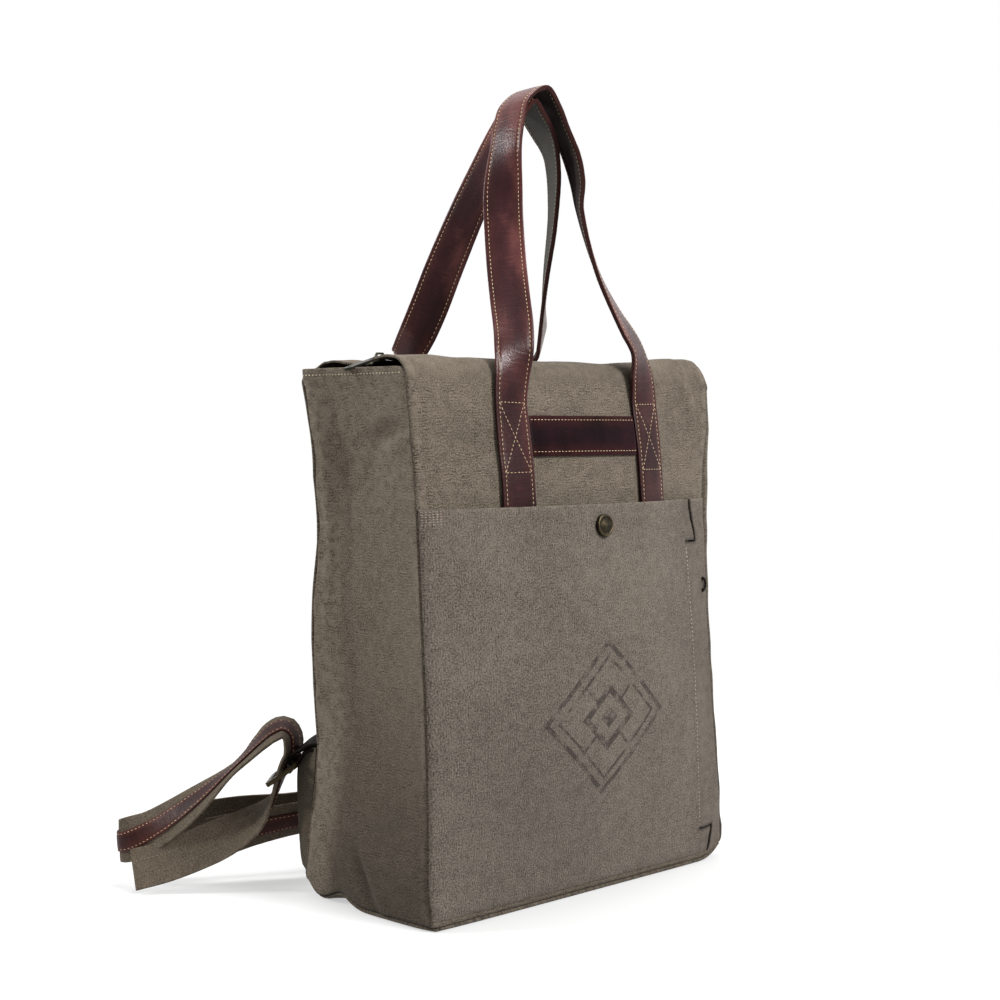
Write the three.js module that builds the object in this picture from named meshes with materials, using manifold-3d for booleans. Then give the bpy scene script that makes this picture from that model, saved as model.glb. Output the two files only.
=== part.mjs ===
// A canvas tote backpack: a soft box of canvas with a zipped roof, a puffed front pocket,
// two leather carrying handles and two long canvas shoulder straps with a leather stripe.
// Millimetres, +Z up. The front faces -Y and the origin is the middle of the base.

import * as THREE from 'three';
import { mergeVertices } from 'three/addons/utils/BufferGeometryUtils.js';
import Module from 'manifold-3d';

const wasm = await Module();
wasm.setup();

// Cloth, leather and the gaps between pieces that touch.
const CANVAS = 1.6;
const HEM = 2.6;
const HANDLE_LEATHER = 3.0;
const BAND_LEATHER = 2.0;
const GAP = 0.3;
const SEWN_GAP = 0.5;

// The body. Each row is a level: half widths at the front and back seams, half depth at the
// seams, how far the front and back belly out, how far the sides cave in, and how square
// the belly is.
const HEM_HEIGHT = 370;
const WALL_FOOT = 2.6;
const BODY_LEVELS = [
  { z: 0, front: 148, back: 145, depth: 67.5, frontBelly: 2.5, backBelly: 3, cave: -2, square: 6 },
  { z: 30, front: 148, back: 147, depth: 67.5, frontBelly: 5, backBelly: 8, cave: -2, square: 4 },
  { z: 90, front: 146, back: 141, depth: 66, frontBelly: 11, backBelly: 15, cave: 3, square: 2.6 },
  { z: 150, front: 145, back: 139, depth: 64, frontBelly: 15.5, backBelly: 17, cave: 6, square: 2.2 },
  { z: 210, front: 145, back: 140, depth: 61.5, frontBelly: 17, backBelly: 17, cave: 6, square: 2 },
  { z: 270, front: 145.5, back: 137, depth: 59.5, frontBelly: 17, backBelly: 16, cave: 6, square: 2 },
  { z: 310, front: 146.5, back: 139, depth: 58.3, frontBelly: 15, backBelly: 13, cave: 5, square: 2 },
  { z: 345, front: 149, back: 146, depth: 57, frontBelly: 10.5, backBelly: 6, cave: 2, square: 2.2 },
  { z: 380, front: 151.5, back: 153, depth: 56, frontBelly: 6, backBelly: 2, cave: 0, square: 2.4 },
];

// The roof: the front and back panels roll inwards over the hem and run level to the zip.
const ROLL_START = 362;
const ROLL_REACH = 20;
const ROLL_RISE = 15;
const ROOF_EDGE = 12;
const ROOF_DIP = 1.2;
const CREST_LEFT = 3;
const CREST_RIGHT = 6;
const CREST_FROM = 40;
const CREST_FULL = 125;

// The main folds: where each lies on its panel, its half length and half width, its turn from
// level in degrees, and how deep it sinks (a ridge is negative).
const FOLDS = [
  { panel: 'front', across: 116, up: 322, half: 26, wide: 13, turn: 40, depth: 3 },
  { panel: 'front', across: 122, up: 348, half: 24, wide: 11, turn: -48, depth: -2.5 },
  { panel: 'front', across: -100, up: 318, half: 40, wide: 14, turn: 8, depth: 2 },
  { panel: 'left', across: 8, up: 300, half: 45, wide: 15, turn: 18, depth: 4 },
  { panel: 'left', across: 18, up: 205, half: 40, wide: 16, turn: -22, depth: -3 },
  { panel: 'left', across: 5, up: 120, half: 44, wide: 16, turn: 14, depth: 3.5 },
  { panel: 'right', across: 0, up: 255, half: 45, wide: 16, turn: -12, depth: 4 },
  { panel: 'back', across: 60, up: 255, half: 60, wide: 18, turn: 12, depth: 3 },
];

// The base dish.
const BASE_RIM = 0.88;
const BASE_THICK = 2;
const BASE_HALF_WIDTH = 149;
const BASE_HALF_DEPTH = 72.5;
const BASE_CORNER = 0.02;
const BASE_CORNER_POWER = 6;
const BASE_LIFT_POWER = 1.6;

// The front pocket and the placket along its right edge.
const POCKET_TOP = 276;
const POCKET_FOOT = 7;
const POCKET_RIGHT = 127;
const POCKET_PUFF = 12;
const POCKET_LEFT_INSET = 1.5;
const POCKET_ROUND = 2.2;
const POCKET_FULL = 0.45;
const MOUTH_FROM = 0.75;
const MOUTH_FLAT = 0.22;
const PLACKET_LEFT = 113;
const PLACKET_RIGHT = 143.5;
const PLACKET_LOW = 26;
const PLACKET_HIGH = 244;
const SNAP_HEIGHT = 261;
const SNAP_RADIUS = 8.6;
const SNAP_FACETS = 16;
const SNAP_PROFILE = [
  { r: 0, h: 0 },
  { r: SNAP_RADIUS, h: 0 },
  { r: SNAP_RADIUS, h: 1.6 },
  { r: 7.8, h: 2.4 },
  { r: 6.6, h: 2.2 },
  { r: 6, h: 1.5 },
  { r: 3.5, h: 2.1 },
  { r: 0, h: 2.3 },
];

// Handles: strap width, where they are sewn on and how the free arch runs.
const HANDLE_WIDTH = 28;
const HANDLE_X = 67.5;
const SEWN_ROWS = 6;
const FRONT_FOOT = 262;
const FRONT_SEWN_TOP = 348;
const BACK_FOOT = 262;
const BACK_SEWN_TOP = 332;
const LEAN = 10;
const LEAN_FROM = 530;
const LEAN_FULL = 562;
const BAND_LOW = 310;
const BAND_HIGH = 338;

const FRONT_ARCH = [
  { x: -66, y: -67.5, z: 366, faceX: -0.15, faceY: -0.98, faceZ: 0.1 },
  { x: -63, y: -66.5, z: 385, faceX: -0.5, faceY: -0.85, faceZ: 0.2 },
  { x: -58, y: -61, z: 400, faceX: -0.62, faceY: -0.75, faceZ: 0.15 },
  { x: -52, y: -52, z: 420, faceX: -0.7, faceY: -0.68, faceZ: 0.1 },
  { x: -45.5, y: -42, z: 447, faceX: -0.72, faceY: -0.66, faceZ: 0.08 },
  { x: -39, y: -33, z: 490, faceX: -0.76, faceY: -0.64, faceZ: 0 },
  { x: -37.5, y: -33, z: 510, faceX: -0.9, faceY: -0.4, faceZ: 0.05 },
  { x: -35, y: -32.5, z: 527, faceX: -0.95, faceY: -0.15, faceZ: 0.15 },
  { x: -30, y: -31, z: 545, faceX: -0.92, faceY: -0.1, faceZ: 0.35 },
  { x: -22, y: -29, z: 561, faceX: -0.7, faceY: 0, faceZ: 0.7 },
];
const FRONT_APEX = { x: 0, y: -28, z: 573, faceX: 0, faceY: 0, faceZ: 1 };

const BACK_ARCH = [
  { x: -67.5, y: 65.5, z: 350, faceX: 0, faceY: 1, faceZ: 0.05 },
  { x: -67.5, y: 62.5, z: 369, faceX: 0, faceY: 0.85, faceZ: 0.5 },
  { x: -67.3, y: 53, z: 380.5, faceX: -0.15, faceY: 0.45, faceZ: 0.88 },
  { x: -66, y: 43, z: 390, faceX: -0.8, faceY: 0.1, faceZ: 0.6 },
  { x: -62.5, y: 33, z: 402, faceX: -0.85, faceY: -0.45, faceZ: -0.15 },
  { x: -57.5, y: 25.5, z: 420, faceX: -0.79, faceY: -0.6, faceZ: -0.2 },
  { x: -51.5, y: 15.5, z: 447, faceX: -0.81, faceY: -0.57, faceZ: -0.06 },
  { x: -41.5, y: -2.5, z: 490, faceX: -0.9, faceY: -0.42, faceZ: 0.09 },
  { x: -28.5, y: -15, z: 527, faceX: -0.93, faceY: -0.35, faceZ: 0.27 },
  { x: -20.5, y: -18, z: 546, faceX: -0.8, faceY: -0.15, faceZ: 0.55 },
  { x: -11, y: -19, z: 556, faceX: -0.5, faceY: -0.1, faceZ: 0.85 },
];
const BACK_APEX = { x: 0, y: -19.5, z: 560.5, faceX: 0, faceY: 0, faceZ: 1 };

// Shoulder straps: canvas width and thickness, and the leather stripe along the outside.
const STRAP_WIDTH = 31;
const STRAP_CANVAS = 1.8;
const STRIPE_WIDTH = 15;
const STRIPE_LEATHER = 1.4;
const STRAP_X = 34;
const STRAP_SEWN_TOP = 352;
const STRAP_SEWN_FOOT = 302;

// The left strap from its seam down the back, out along the floor to a fold, back over an
// arch, through its slider and out to its free end.
const LEFT_ROUTE = [
  { x: -35, y: 92, z: 235, faceX: 0, faceY: 1, faceZ: 0 },
  { x: -38, y: 103, z: 150, faceX: -0.3, faceY: 1, faceZ: 0 },
  { x: -46, y: 115, z: 84, faceX: -0.6, faceY: 0.8, faceZ: 0.2 },
  { x: -66, y: 124, z: 54, faceX: -0.2, faceY: 0.8, faceZ: 0.6 },
  { x: -98, y: 134, z: 48, faceX: 0.25, faceY: 0.95, faceZ: 0.2 },
  { x: -145, y: 157, z: 44, faceX: 0.5, faceY: 0.85, faceZ: 0 },
  { x: -185, y: 181, z: 38, faceX: 0.5, faceY: 0.85, faceZ: 0 },
  { x: -209, y: 195, z: 33, faceX: 0.45, faceY: 0.88, faceZ: 0 },
  { x: -219, y: 196, z: 32, faceX: -0.65, faceY: 0.75, faceZ: 0 },
  { x: -220, y: 186, z: 33, faceX: -0.95, faceY: -0.3, faceZ: 0 },
  { x: -207, y: 167, z: 43, faceX: -0.7, faceY: -0.68, faceZ: 0.2 },
  { x: -186, y: 144, z: 64, faceX: -0.6, faceY: -0.6, faceZ: 0.5 },
  { x: -165, y: 121, z: 90, faceX: -0.5, faceY: 0.1, faceZ: 0.8 },
  { x: -150, y: 105, z: 112, faceX: -0.5, faceY: -0.1, faceZ: 0.85 },
  { x: -141, y: 96, z: 119, faceX: -0.1, faceY: -0.35, faceZ: 0.95 },
  { x: -140, y: 92.5, z: 110, faceX: 0.75, faceY: -0.65, faceZ: 0.2 },
];
const LEFT_TAIL = [
  { x: -152, y: 101, z: 63, faceX: 0.65, faceY: -0.45, faceZ: -0.4 },
  { x: -163, y: 110, z: 49, faceX: 0.62, faceY: 0.2, faceZ: -0.75 },
  { x: -185, y: 130, z: 34, faceX: 0.66, faceY: 0.62, faceZ: -0.45 },
  { x: -208, y: 151, z: 22, faceX: 0.62, faceY: 0.62, faceZ: -0.5 },
  { x: -226, y: 167, z: 14.5, faceX: 0.6, faceY: 0.62, faceZ: -0.5 },
];

// The right strap takes a shorter loop on its own side, and its free end runs along behind the
// base to the left.
const RIGHT_ROUTE = [
  { x: 35, y: 92, z: 235, faceX: 0, faceY: 1, faceZ: 0 },
  { x: 38, y: 103, z: 150, faceX: 0.3, faceY: 1, faceZ: 0 },
  { x: 46, y: 115, z: 84, faceX: 0.6, faceY: 0.8, faceZ: 0.2 },
  { x: 66, y: 124, z: 52, faceX: 0.2, faceY: 0.8, faceZ: 0.6 },
  { x: 98, y: 133, z: 46, faceX: -0.25, faceY: 0.95, faceZ: 0.2 },
  { x: 135, y: 149, z: 44, faceX: -0.5, faceY: 0.85, faceZ: 0 },
  { x: 160, y: 161, z: 46, faceX: -0.4, faceY: 0.9, faceZ: 0.1 },
  { x: 170.5, y: 161, z: 49, faceX: 0.65, faceY: 0.75, faceZ: 0 },
  { x: 171, y: 150, z: 56, faceX: 0.95, faceY: -0.3, faceZ: 0.1 },
  { x: 163, y: 128, z: 84, faceX: 0.7, faceY: -0.3, faceZ: 0.6 },
  { x: 150, y: 105, z: 112, faceX: 0.5, faceY: -0.1, faceZ: 0.85 },
  { x: 141, y: 96, z: 119, faceX: 0.1, faceY: -0.35, faceZ: 0.95 },
  { x: 140, y: 92.5, z: 110, faceX: -0.75, faceY: -0.65, faceZ: 0.2 },
];
const RIGHT_TAIL = [
  { x: 146, y: 100, z: 62, faceX: -0.65, faceY: -0.6, faceZ: -0.1 },
  { x: 124, y: 99, z: 42, faceX: -0.35, faceY: -0.75, faceZ: -0.5 },
  { x: 90, y: 97, z: 33, faceX: -0.1, faceY: -0.95, faceZ: -0.25 },
  { x: 20, y: 95, z: 32, faceX: 0, faceY: -1, faceZ: 0 },
  { x: -60, y: 95, z: 40, faceX: 0, faceY: -1, faceZ: 0 },
  { x: -110, y: 105, z: 46, faceX: -0.3, faceY: -0.95, faceZ: 0 },
  { x: -150, y: 131, z: 38, faceX: -0.6, faceY: -0.8, faceZ: 0 },
  { x: -172, y: 149, z: 32, faceX: -0.6, faceY: -0.8, faceZ: 0 },
];

// Strap sliders: a flat frame with a slot for the strap and a slot for the leather loop that
// ties it to the back panel, and the tabs in the bottom corner seams.
const SLIDER_LENGTH = 41;
const SLIDER_BAR = 4;
const STRAP_SLOT = 10;
const LOOP_SLOT = 5;
const SLIDER_THICK = 3.2;
const SLIDER_CORNER = 4;
const SLOT_CORNER = 1.5;
const SLIDER_SEAT = { x: -144, y: 93, z: 86, toBagX: 0.69, toBagY: -0.66, toBagZ: 0.3 };
const LOOP_WIDTH = 22;
const LOOP_LEATHER = 1.6;
const LOOP_REACH = 25;
const LOOP_SLACK = 0.4;
const LOOP_PINCH = 0.75;
const LOOP_STRAIGHT = 2;
const LOOP_TURN = 1.4;
const TAB_LOW = 22;
const TAB_HIGH = 80;
const TAB_REACH = 17;
const TAB_THICK = 2.4;
const TAB_CLEAR = 2.6;
const TAB_ROUND = 7;

// The zip.
const ZIP_HALF = 137;
const TAPE_HALF = 139;
const TAPE_WIDTH = 13;
const TAPE_THICK = 1;
const TEETH_WIDTH = 6.4;
const TEETH_THICK = 2.6;
const TOOTH_PITCH = 6.85;
const TOOTH_SHARE = 0.6;
const TOOTH_ROOT = 0.55;
const SLIDER_X = -126;
const CAP = { length: 9, width: 10, height: 2, ahead: 1.5 };
const BRIDGE_THICK = 2;
const BRIDGE = [
  { x: -5, h: 0.2 },
  { x: 4.5, h: 0.2 },
  { x: 4.5, h: 4.4 },
  { x: 2.5, h: 7.6 },
  { x: -3, h: 7.6 },
  { x: -5, h: 4.4 },
];
const BRIDGE_EYE = [
  { x: -3.3, h: 2.2 },
  { x: 2.8, h: 2.2 },
  { x: 2.8, h: 4.8 },
  { x: 1.6, h: 6.2 },
  { x: -2.2, h: 6.2 },
  { x: -3.3, h: 4.8 },
];
const PIVOT_X = -127.2;
const PIVOT_RISE = 4.2;
const PULLER_LENGTH = 31;
const PULLER_WIDTH = 8;
const PULLER_THICK = 1.8;
const PULLER_DROP = 17;
const PULLER_NECK = 6.8;
const PULLER_HEAD = 1;
const PULLER_FLARE = 9;
const PULLER_HOLE = 1.7;
const PULLER_WINDOW = { x: 1, length: 7.5, width: 3.4, corner: 0.5 };

const material = (colour, roughness, metalness = 0) =>
  new THREE.MeshStandardMaterial({ color: colour, roughness, metalness });
const canvas = material('#756b5d', 0.92);
const pocketCanvas = material('#7f7466', 0.92);
const strapCanvas = material('#6d6456', 0.92);
const leather = material('#45231f', 0.45);
const tapeCloth = material('#3a352d', 0.9);
const brass = material('#6b5a38', 0.4, 0.9);

const bag = new THREE.Group();

function piece(name, geometry, finish) {
  const mesh = new THREE.Mesh(geometry, finish);
  mesh.name = name;
  bag.add(mesh);
  return mesh;
}

// The value of one column of a table at a height, on a smooth curve through the rows.
function level(column, z) {
  const rows = BODY_LEVELS;
  const last = rows.length - 2;
  const at = Math.min(Math.max(rows.findIndex((row) => row.z > z) - 1, 0), last);
  const found = z >= rows[last + 1].z ? last : at;
  const [a, b] = [rows[found], rows[found + 1]];
  const before = rows[Math.max(found - 1, 0)];
  const after = rows[Math.min(found + 2, last + 1)];
  const span = b.z - a.z;
  const t = THREE.MathUtils.clamp((z - a.z) / span, 0, 1);
  const slopeA = (b[column] - before[column]) / (b.z - before.z) * span;
  const slopeB = (after[column] - a[column]) / (after.z - a.z) * span;
  const t2 = t * t;
  const t3 = t2 * t;
  return (2 * t3 - 3 * t2 + 1) * a[column] + (t3 - 2 * t2 + t) * slopeA
    + (3 * t2 - 2 * t3) * b[column] + (t3 - t2) * slopeB;
}

// How deep the folds of one panel sink at a point of it.
function sink(panel, across, up) {
  let total = 0;
  for (const fold of FOLDS.filter((row) => row.panel === panel)) {
    const turn = THREE.MathUtils.degToRad(fold.turn);
    const dx = across - fold.across;
    const dz = up - fold.up;
    const along = (dx * Math.cos(turn) + dz * Math.sin(turn)) / fold.half;
    const beside = (dz * Math.cos(turn) - dx * Math.sin(turn)) / fold.wide;
    total += fold.depth * Math.exp(-along * along - beside * beside);
  }
  return total;
}

// Splits each four-sided facet along its shorter diagonal.
function splitShort(solid) {
  const { index } = solid;
  const corner = (i) => new THREE.Vector3().fromBufferAttribute(solid.attributes.position, i);
  for (let i = 0; i < index.count; i += 6) {
    const [a, b, d, c] = [index.getX(i), index.getX(i + 1), index.getX(i + 2), index.getX(i + 4)];
    if (corner(a).distanceTo(corner(c)) < corner(b).distanceTo(corner(d))) {
      [a, b, c, a, c, d].forEach((value, k) => index.setX(i + k, value));
    }
  }
}

// A closed solid from a box grid: place(u, v, w) sets each point, with u and v from -1 to 1
// and w 1 on the outside and 0 on the inside.
function grid(columns, rows, place) {
  const box = new THREE.BoxGeometry(2, 2, 1, columns, rows, 1);
  box.deleteAttribute('normal');
  box.deleteAttribute('uv');
  const solid = mergeVertices(box);
  const points = solid.attributes.position;
  for (let i = 0; i < points.count; i += 1) {
    const spot = place(points.getX(i), points.getY(i), points.getZ(i) + 0.5);
    points.setXYZ(i, spot.x, spot.y, spot.z);
  }
  splitShort(solid);
  solid.computeVertexNormals();
  return solid;
}

// A wall: outside(u, v) is its outer face, and its thickness may change over it.
const STEP = 1e-3;
function wall(columns, rows, outside, thickness = () => CANVAS) {
  const place = (u, v, w) => {
    const spot = outside(u, v);
    const acrossStep = outside(u + STEP, v).sub(outside(u - STEP, v));
    const upStep = outside(u, v + STEP).sub(outside(u, v - STEP));
    const out = acrossStep.cross(upStep).normalize();
    return spot.addScaledVector(out, (w - 1) * thickness(u, v));
  };
  return grid(columns, rows, place);
}

// The outer face of the front (side -1) or back (side 1) panel below the roll.
function panelY(side, across, z) {
  const front = side < 0;
  const half = level(front ? 'front' : 'back', z);
  const belly = level(front ? 'frontBelly' : 'backBelly', z);
  const u = Math.min(Math.abs(across) / half, 1.2);
  const out = level('depth', z) + belly * (1 - u ** level('square', z));
  return side * (out - sink(front ? 'front' : 'back', across, z));
}

const rollInset = (z) => {
  const rise = THREE.MathUtils.clamp((z - ROLL_START) / ROLL_RISE, 0, 1);
  return ROLL_REACH * (1 - Math.sqrt(1 - rise * rise));
};

// A front or back panel: v runs up the wall to the roll, over it, and level to the zip.
const WALL_SHARE = 0.76;
const ROLL_SHARE = 0.9;
function bodyPanel(side, columns, rows) {
  const outside = (u, v) => {
    const s = (v + 1) / 2;
    const up = THREE.MathUtils.clamp(s / WALL_SHARE, -0.01, 1);
    const z = WALL_FOOT + up * (ROLL_START - WALL_FOOT);
    const half = level(side < 0 ? 'front' : 'back', z);
    const across = -side * u * half;
    const foot = panelY(side, across, z);
    if (s <= WALL_SHARE) {
      return new THREE.Vector3(across, foot, z);
    }
    const along = THREE.MathUtils.clamp((s - WALL_SHARE) / (ROLL_SHARE - WALL_SHARE), 0, 1);
    const turn = along * Math.PI / 2;
    const rolled = Math.abs(foot) - ROLL_REACH * (1 - Math.cos(turn));
    const flat = Math.max((s - ROLL_SHARE) / (1 - ROLL_SHARE), 0);
    const reach = THREE.MathUtils.lerp(rolled, ROOF_EDGE, flat);
    const crest = (across < 0 ? CREST_LEFT : CREST_RIGHT)
      * THREE.MathUtils.smoothstep(Math.abs(across), CREST_FROM, CREST_FULL);
    const rise = (ROLL_RISE + crest) * Math.sin(turn) - (ROOF_DIP + crest) * flat;
    return new THREE.Vector3(across, side * reach, ROLL_START + rise);
  };
  return wall(columns, rows, outside);
}

// A side gusset, between the panels, with a thick hem along its top.
const HEM_SHARE = 0.93;
const GUSSET_EASE = 0.9;
const GUSSET_ROUND = 2.5;
const FOLD_FADE = 4;
function gusset(side, columns, rows) {
  const inset = CANVAS + GAP + GUSSET_EASE;
  const outside = (u, v) => {
    const z = THREE.MathUtils.lerp(WALL_FOOT, HEM_HEIGHT, (v + 1) / 2);
    const depth = level('depth', z) - rollInset(z) - inset;
    const y = side * u * depth;
    const half = THREE.MathUtils.lerp(level('front', z), level('back', z), (y / depth + 1) / 2);
    const cave = level('cave', z) * (1 - Math.abs(u) ** GUSSET_ROUND);
    const fold = sink(side < 0 ? 'left' : 'right', y, z) * (1 - u ** FOLD_FADE);
    return new THREE.Vector3(side * (half - cave - fold), y, z);
  };
  return wall(columns, rows, outside, (u, v) => ((v + 1) / 2 > HEM_SHARE ? HEM : CANVAS));
}

// The base: flat in the middle, its rim rising to meet the walls.
function base() {
  const rimLift = WALL_FOOT - GAP - BASE_THICK;
  const outside = (u, v) => {
    const rim = Math.max(Math.abs(u), Math.abs(v));
    const lift = THREE.MathUtils.clamp((rim - BASE_RIM) / (1 - BASE_RIM), 0, 1);
    const corner = 1 - BASE_CORNER * Math.min(Math.abs(u), Math.abs(v)) ** BASE_CORNER_POWER;
    const z = rimLift * lift ** BASE_LIFT_POWER;
    return new THREE.Vector3(u * BASE_HALF_WIDTH * corner, -v * BASE_HALF_DEPTH * corner, z);
  };
  const place = (u, v, w) => outside(u, v).add(new THREE.Vector3(0, 0, (1 - w) * BASE_THICK));
  return grid(12, 10, place);
}

// How far the pocket stands off the front panel.
function pocketLift(across, z) {
  const left = -level('front', z) + POCKET_LEFT_INSET;
  const middle = (left + POCKET_RIGHT) / 2;
  const u = (across - middle) / (POCKET_RIGHT - middle);
  const up = (z - POCKET_FOOT) / (POCKET_TOP - POCKET_FOOT);
  const mouth = 1 - MOUTH_FLAT * THREE.MathUtils.smoothstep(up, MOUTH_FROM, 1);
  const rise = THREE.MathUtils.smoothstep(up, 0, POCKET_FULL) * mouth;
  return SEWN_GAP + POCKET_PUFF * Math.max(1 - Math.abs(u) ** POCKET_ROUND, 0) * rise;
}

const pocketY = (across, z) => panelY(-1, across, z) - pocketLift(across, z) - CANVAS;

function pocket() {
  const outside = (u, v) => {
    const z = THREE.MathUtils.lerp(POCKET_FOOT, POCKET_TOP, (v + 1) / 2);
    const left = -level('front', z) + POCKET_LEFT_INSET;
    const across = THREE.MathUtils.lerp(left, POCKET_RIGHT, (u + 1) / 2);
    return new THREE.Vector3(across, pocketY(across, z), z);
  };
  return wall(14, 15, outside);
}

function placket() {
  const outside = (u, v) => {
    const z = THREE.MathUtils.lerp(PLACKET_LOW, PLACKET_HIGH, (v + 1) / 2);
    const across = THREE.MathUtils.lerp(PLACKET_LEFT, PLACKET_RIGHT, (u + 1) / 2);
    const under = Math.min(across, POCKET_RIGHT);
    const lift = pocketY(under, z) - panelY(-1, under, z);
    return new THREE.Vector3(across, panelY(-1, across, z) + lift - SEWN_GAP - CANVAS, z);
  };
  return wall(5, 16, outside);
}

// A band sewn flat on the front panel.
function band() {
  const half = HANDLE_X - HANDLE_WIDTH / 2 - 2 * GAP;
  const outside = (u, v) => {
    const z = THREE.MathUtils.lerp(BAND_LOW, BAND_HIGH, (v + 1) / 2);
    return new THREE.Vector3(u * half, panelY(-1, u * half, z) - SEWN_GAP - BAND_LEATHER, z);
  };
  return wall(8, 2, outside, () => BAND_LEATHER);
}

// A strap along rows of points: the face columns say which way its outer side looks.
function ribbon(rows, width, thickness, { offset = 0, stepsPerRow = 4, middle = 0 } = {}) {
  const spots = rows.map((row) => new THREE.Vector3(row.x, row.y, row.z));
  const faces = rows.map((row) => new THREE.Vector3(row.faceX, row.faceY, row.faceZ));
  const line = new THREE.CatmullRomCurve3(spots);
  const facing = new THREE.CatmullRomCurve3(faces);
  const place = (u, v, w) => {
    const t = (v + 1) / 2;
    const along = line.getTangent(t);
    const face = facing.getPoint(t);
    const out = face.addScaledVector(along, -face.dot(along)).normalize();
    const side = along.clone().cross(out);
    const reach = Math.abs(u) < 1 ? Math.sign(u) * middle / 2 : u * width / 2;
    const lift = offset + (w - 0.5) * thickness;
    return line.getPoint(t).addScaledVector(side, reach).addScaledVector(out, lift);
  };
  return grid(middle ? 3 : 1, (rows.length - 1) * stepsPerRow, place);
}

const mirrored = (row) => ({ ...row, x: -row.x, faceX: -row.faceX });

// The arches lean: near the top the right leg stands closer to the middle.
const lean = (z) => LEAN * THREE.MathUtils.smoothstep(z, LEAN_FROM, LEAN_FULL);

// Rows of a strap that is sewn flat on a body panel, from the foot up.
function sewnRows(side, across, heights, thickness) {
  return heights.map((z) => {
    const slopeX = (panelY(side, across + 1, z) - panelY(side, across - 1, z)) / 2;
    const slopeZ = (panelY(side, across, z + 1) - panelY(side, across, z - 1)) / 2;
    const face = new THREE.Vector3(-side * slopeX, side, -side * slopeZ).normalize();
    const y = panelY(side, across, z) + side * (SEWN_GAP + thickness / 2);
    return { x: across, y, z, faceX: face.x, faceY: face.y, faceZ: face.z };
  });
}

function handle(side, foot, sewnTop, arch, apex) {
  const heights = Array.from({ length: SEWN_ROWS }, (_, i) =>
    THREE.MathUtils.lerp(foot, sewnTop, i / (SEWN_ROWS - 1)));
  const leg = [...sewnRows(side, -HANDLE_X, heights, HANDLE_LEATHER), ...arch];
  const otherArch = arch.map(mirrored).map((row) => ({ ...row, x: row.x - lean(row.z) }));
  const otherLeg = [...sewnRows(side, HANDLE_X, heights, HANDLE_LEATHER), ...otherArch];
  return ribbon([...leg, apex, ...otherLeg.reverse()], HANDLE_WIDTH, HANDLE_LEATHER, { stepsPerRow: 2 });
}

// Solids for the few pieces that are cut or joined, and flat plates.
const CURVE_STEPS = 3;
function toSolid(geometry) {
  const bare = geometry.clone();
  bare.deleteAttribute('normal');
  bare.deleteAttribute('uv');
  const merged = mergeVertices(bare);
  const mesh = new wasm.Mesh({
    numProp: 3,
    vertProperties: Float32Array.from(merged.attributes.position.array),
    triVerts: Uint32Array.from(merged.index.array),
  });
  return new wasm.Manifold(mesh);
}

function toGeometry(solid) {
  const mesh = solid.getMesh();
  const geometry = new THREE.BufferGeometry();
  geometry.setAttribute('position', new THREE.BufferAttribute(Float32Array.from(mesh.vertProperties), 3));
  geometry.setIndex(new THREE.BufferAttribute(Uint32Array.from(mesh.triVerts), 1));
  geometry.computeVertexNormals();
  return geometry;
}

function plate(shape, depth) {
  const solid = new THREE.ExtrudeGeometry(shape, { depth, bevelEnabled: false, curveSegments: CURVE_STEPS });
  return solid.translate(0, 0, -depth / 2);
}

// A snap cap: a shallow dome with a raised rim.
function snapCap() {
  return new THREE.LatheGeometry(SNAP_PROFILE.map((row) => new THREE.Vector2(row.r, row.h)), SNAP_FACETS);
}

// The leather loop round the end bar of a strap slider, as rows of a ribbon. In the slider's own
// frame it comes from the back panel on one side, turns round the bar and goes back on the other.
function loopRows(seat, barMiddle) {
  const centre = new THREE.Vector3(seat.x, seat.y, seat.z);
  const { toBag, through } = sliderAxes(seat);
  const clear = SLIDER_THICK / 2 + 2 * SEWN_GAP + LOOP_LEATHER / 2;
  const inner = barMiddle - (SLIDER_BAR + LOOP_LEATHER) / 2 - GAP - LOOP_SLACK;
  const turns = [
    { along: LOOP_REACH, aside: clear * LOOP_PINCH, faceAlong: 0, faceAside: 1 },
    { along: barMiddle + LOOP_STRAIGHT, aside: clear, faceAlong: 0, faceAside: 1 },
    { along: barMiddle - LOOP_TURN, aside: clear, faceAlong: -0.5, faceAside: 0.9 },
    { along: inner, aside: 0, faceAlong: -1, faceAside: 0 },
    { along: barMiddle - LOOP_TURN, aside: -clear, faceAlong: -0.5, faceAside: -0.9 },
    { along: barMiddle + LOOP_STRAIGHT, aside: -clear, faceAlong: 0, faceAside: -1 },
    { along: LOOP_REACH, aside: -clear * LOOP_PINCH, faceAlong: 0, faceAside: -1 },
  ];
  return turns.map((turn) => {
    const spot = centre.clone().addScaledVector(toBag, turn.along).addScaledVector(through, turn.aside);
    const face = toBag.clone().multiplyScalar(turn.faceAlong).addScaledVector(through, turn.faceAside);
    return { x: spot.x, y: spot.y, z: spot.z, faceX: face.x, faceY: face.y, faceZ: face.z };
  });
}

// A slider's axes: towards the bag, along its bars, and through its slots.
function sliderAxes(seat) {
  const toBag = new THREE.Vector3(seat.toBagX, seat.toBagY, seat.toBagZ).normalize();
  const bars = new THREE.Vector3(-seat.toBagY, seat.toBagX, 0).normalize();
  return { toBag, bars, through: bars.clone().cross(toBag) };
}

// Where a strap passes through its slider, with its leather towards the bag.
function slotRow(seat) {
  const { toBag } = sliderAxes(seat);
  const slotMiddle = -SLIDER_HEIGHT / 2 + SLIDER_BAR + STRAP_SLOT / 2;
  const spot = toBag.clone().multiplyScalar(slotMiddle - STRIPE_LEATHER / 2);
  const { x, y, z } = spot.add(new THREE.Vector3(seat.x, seat.y, seat.z));
  return { x, y, z, faceX: toBag.x, faceY: toBag.y, faceZ: toBag.z };
}

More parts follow.
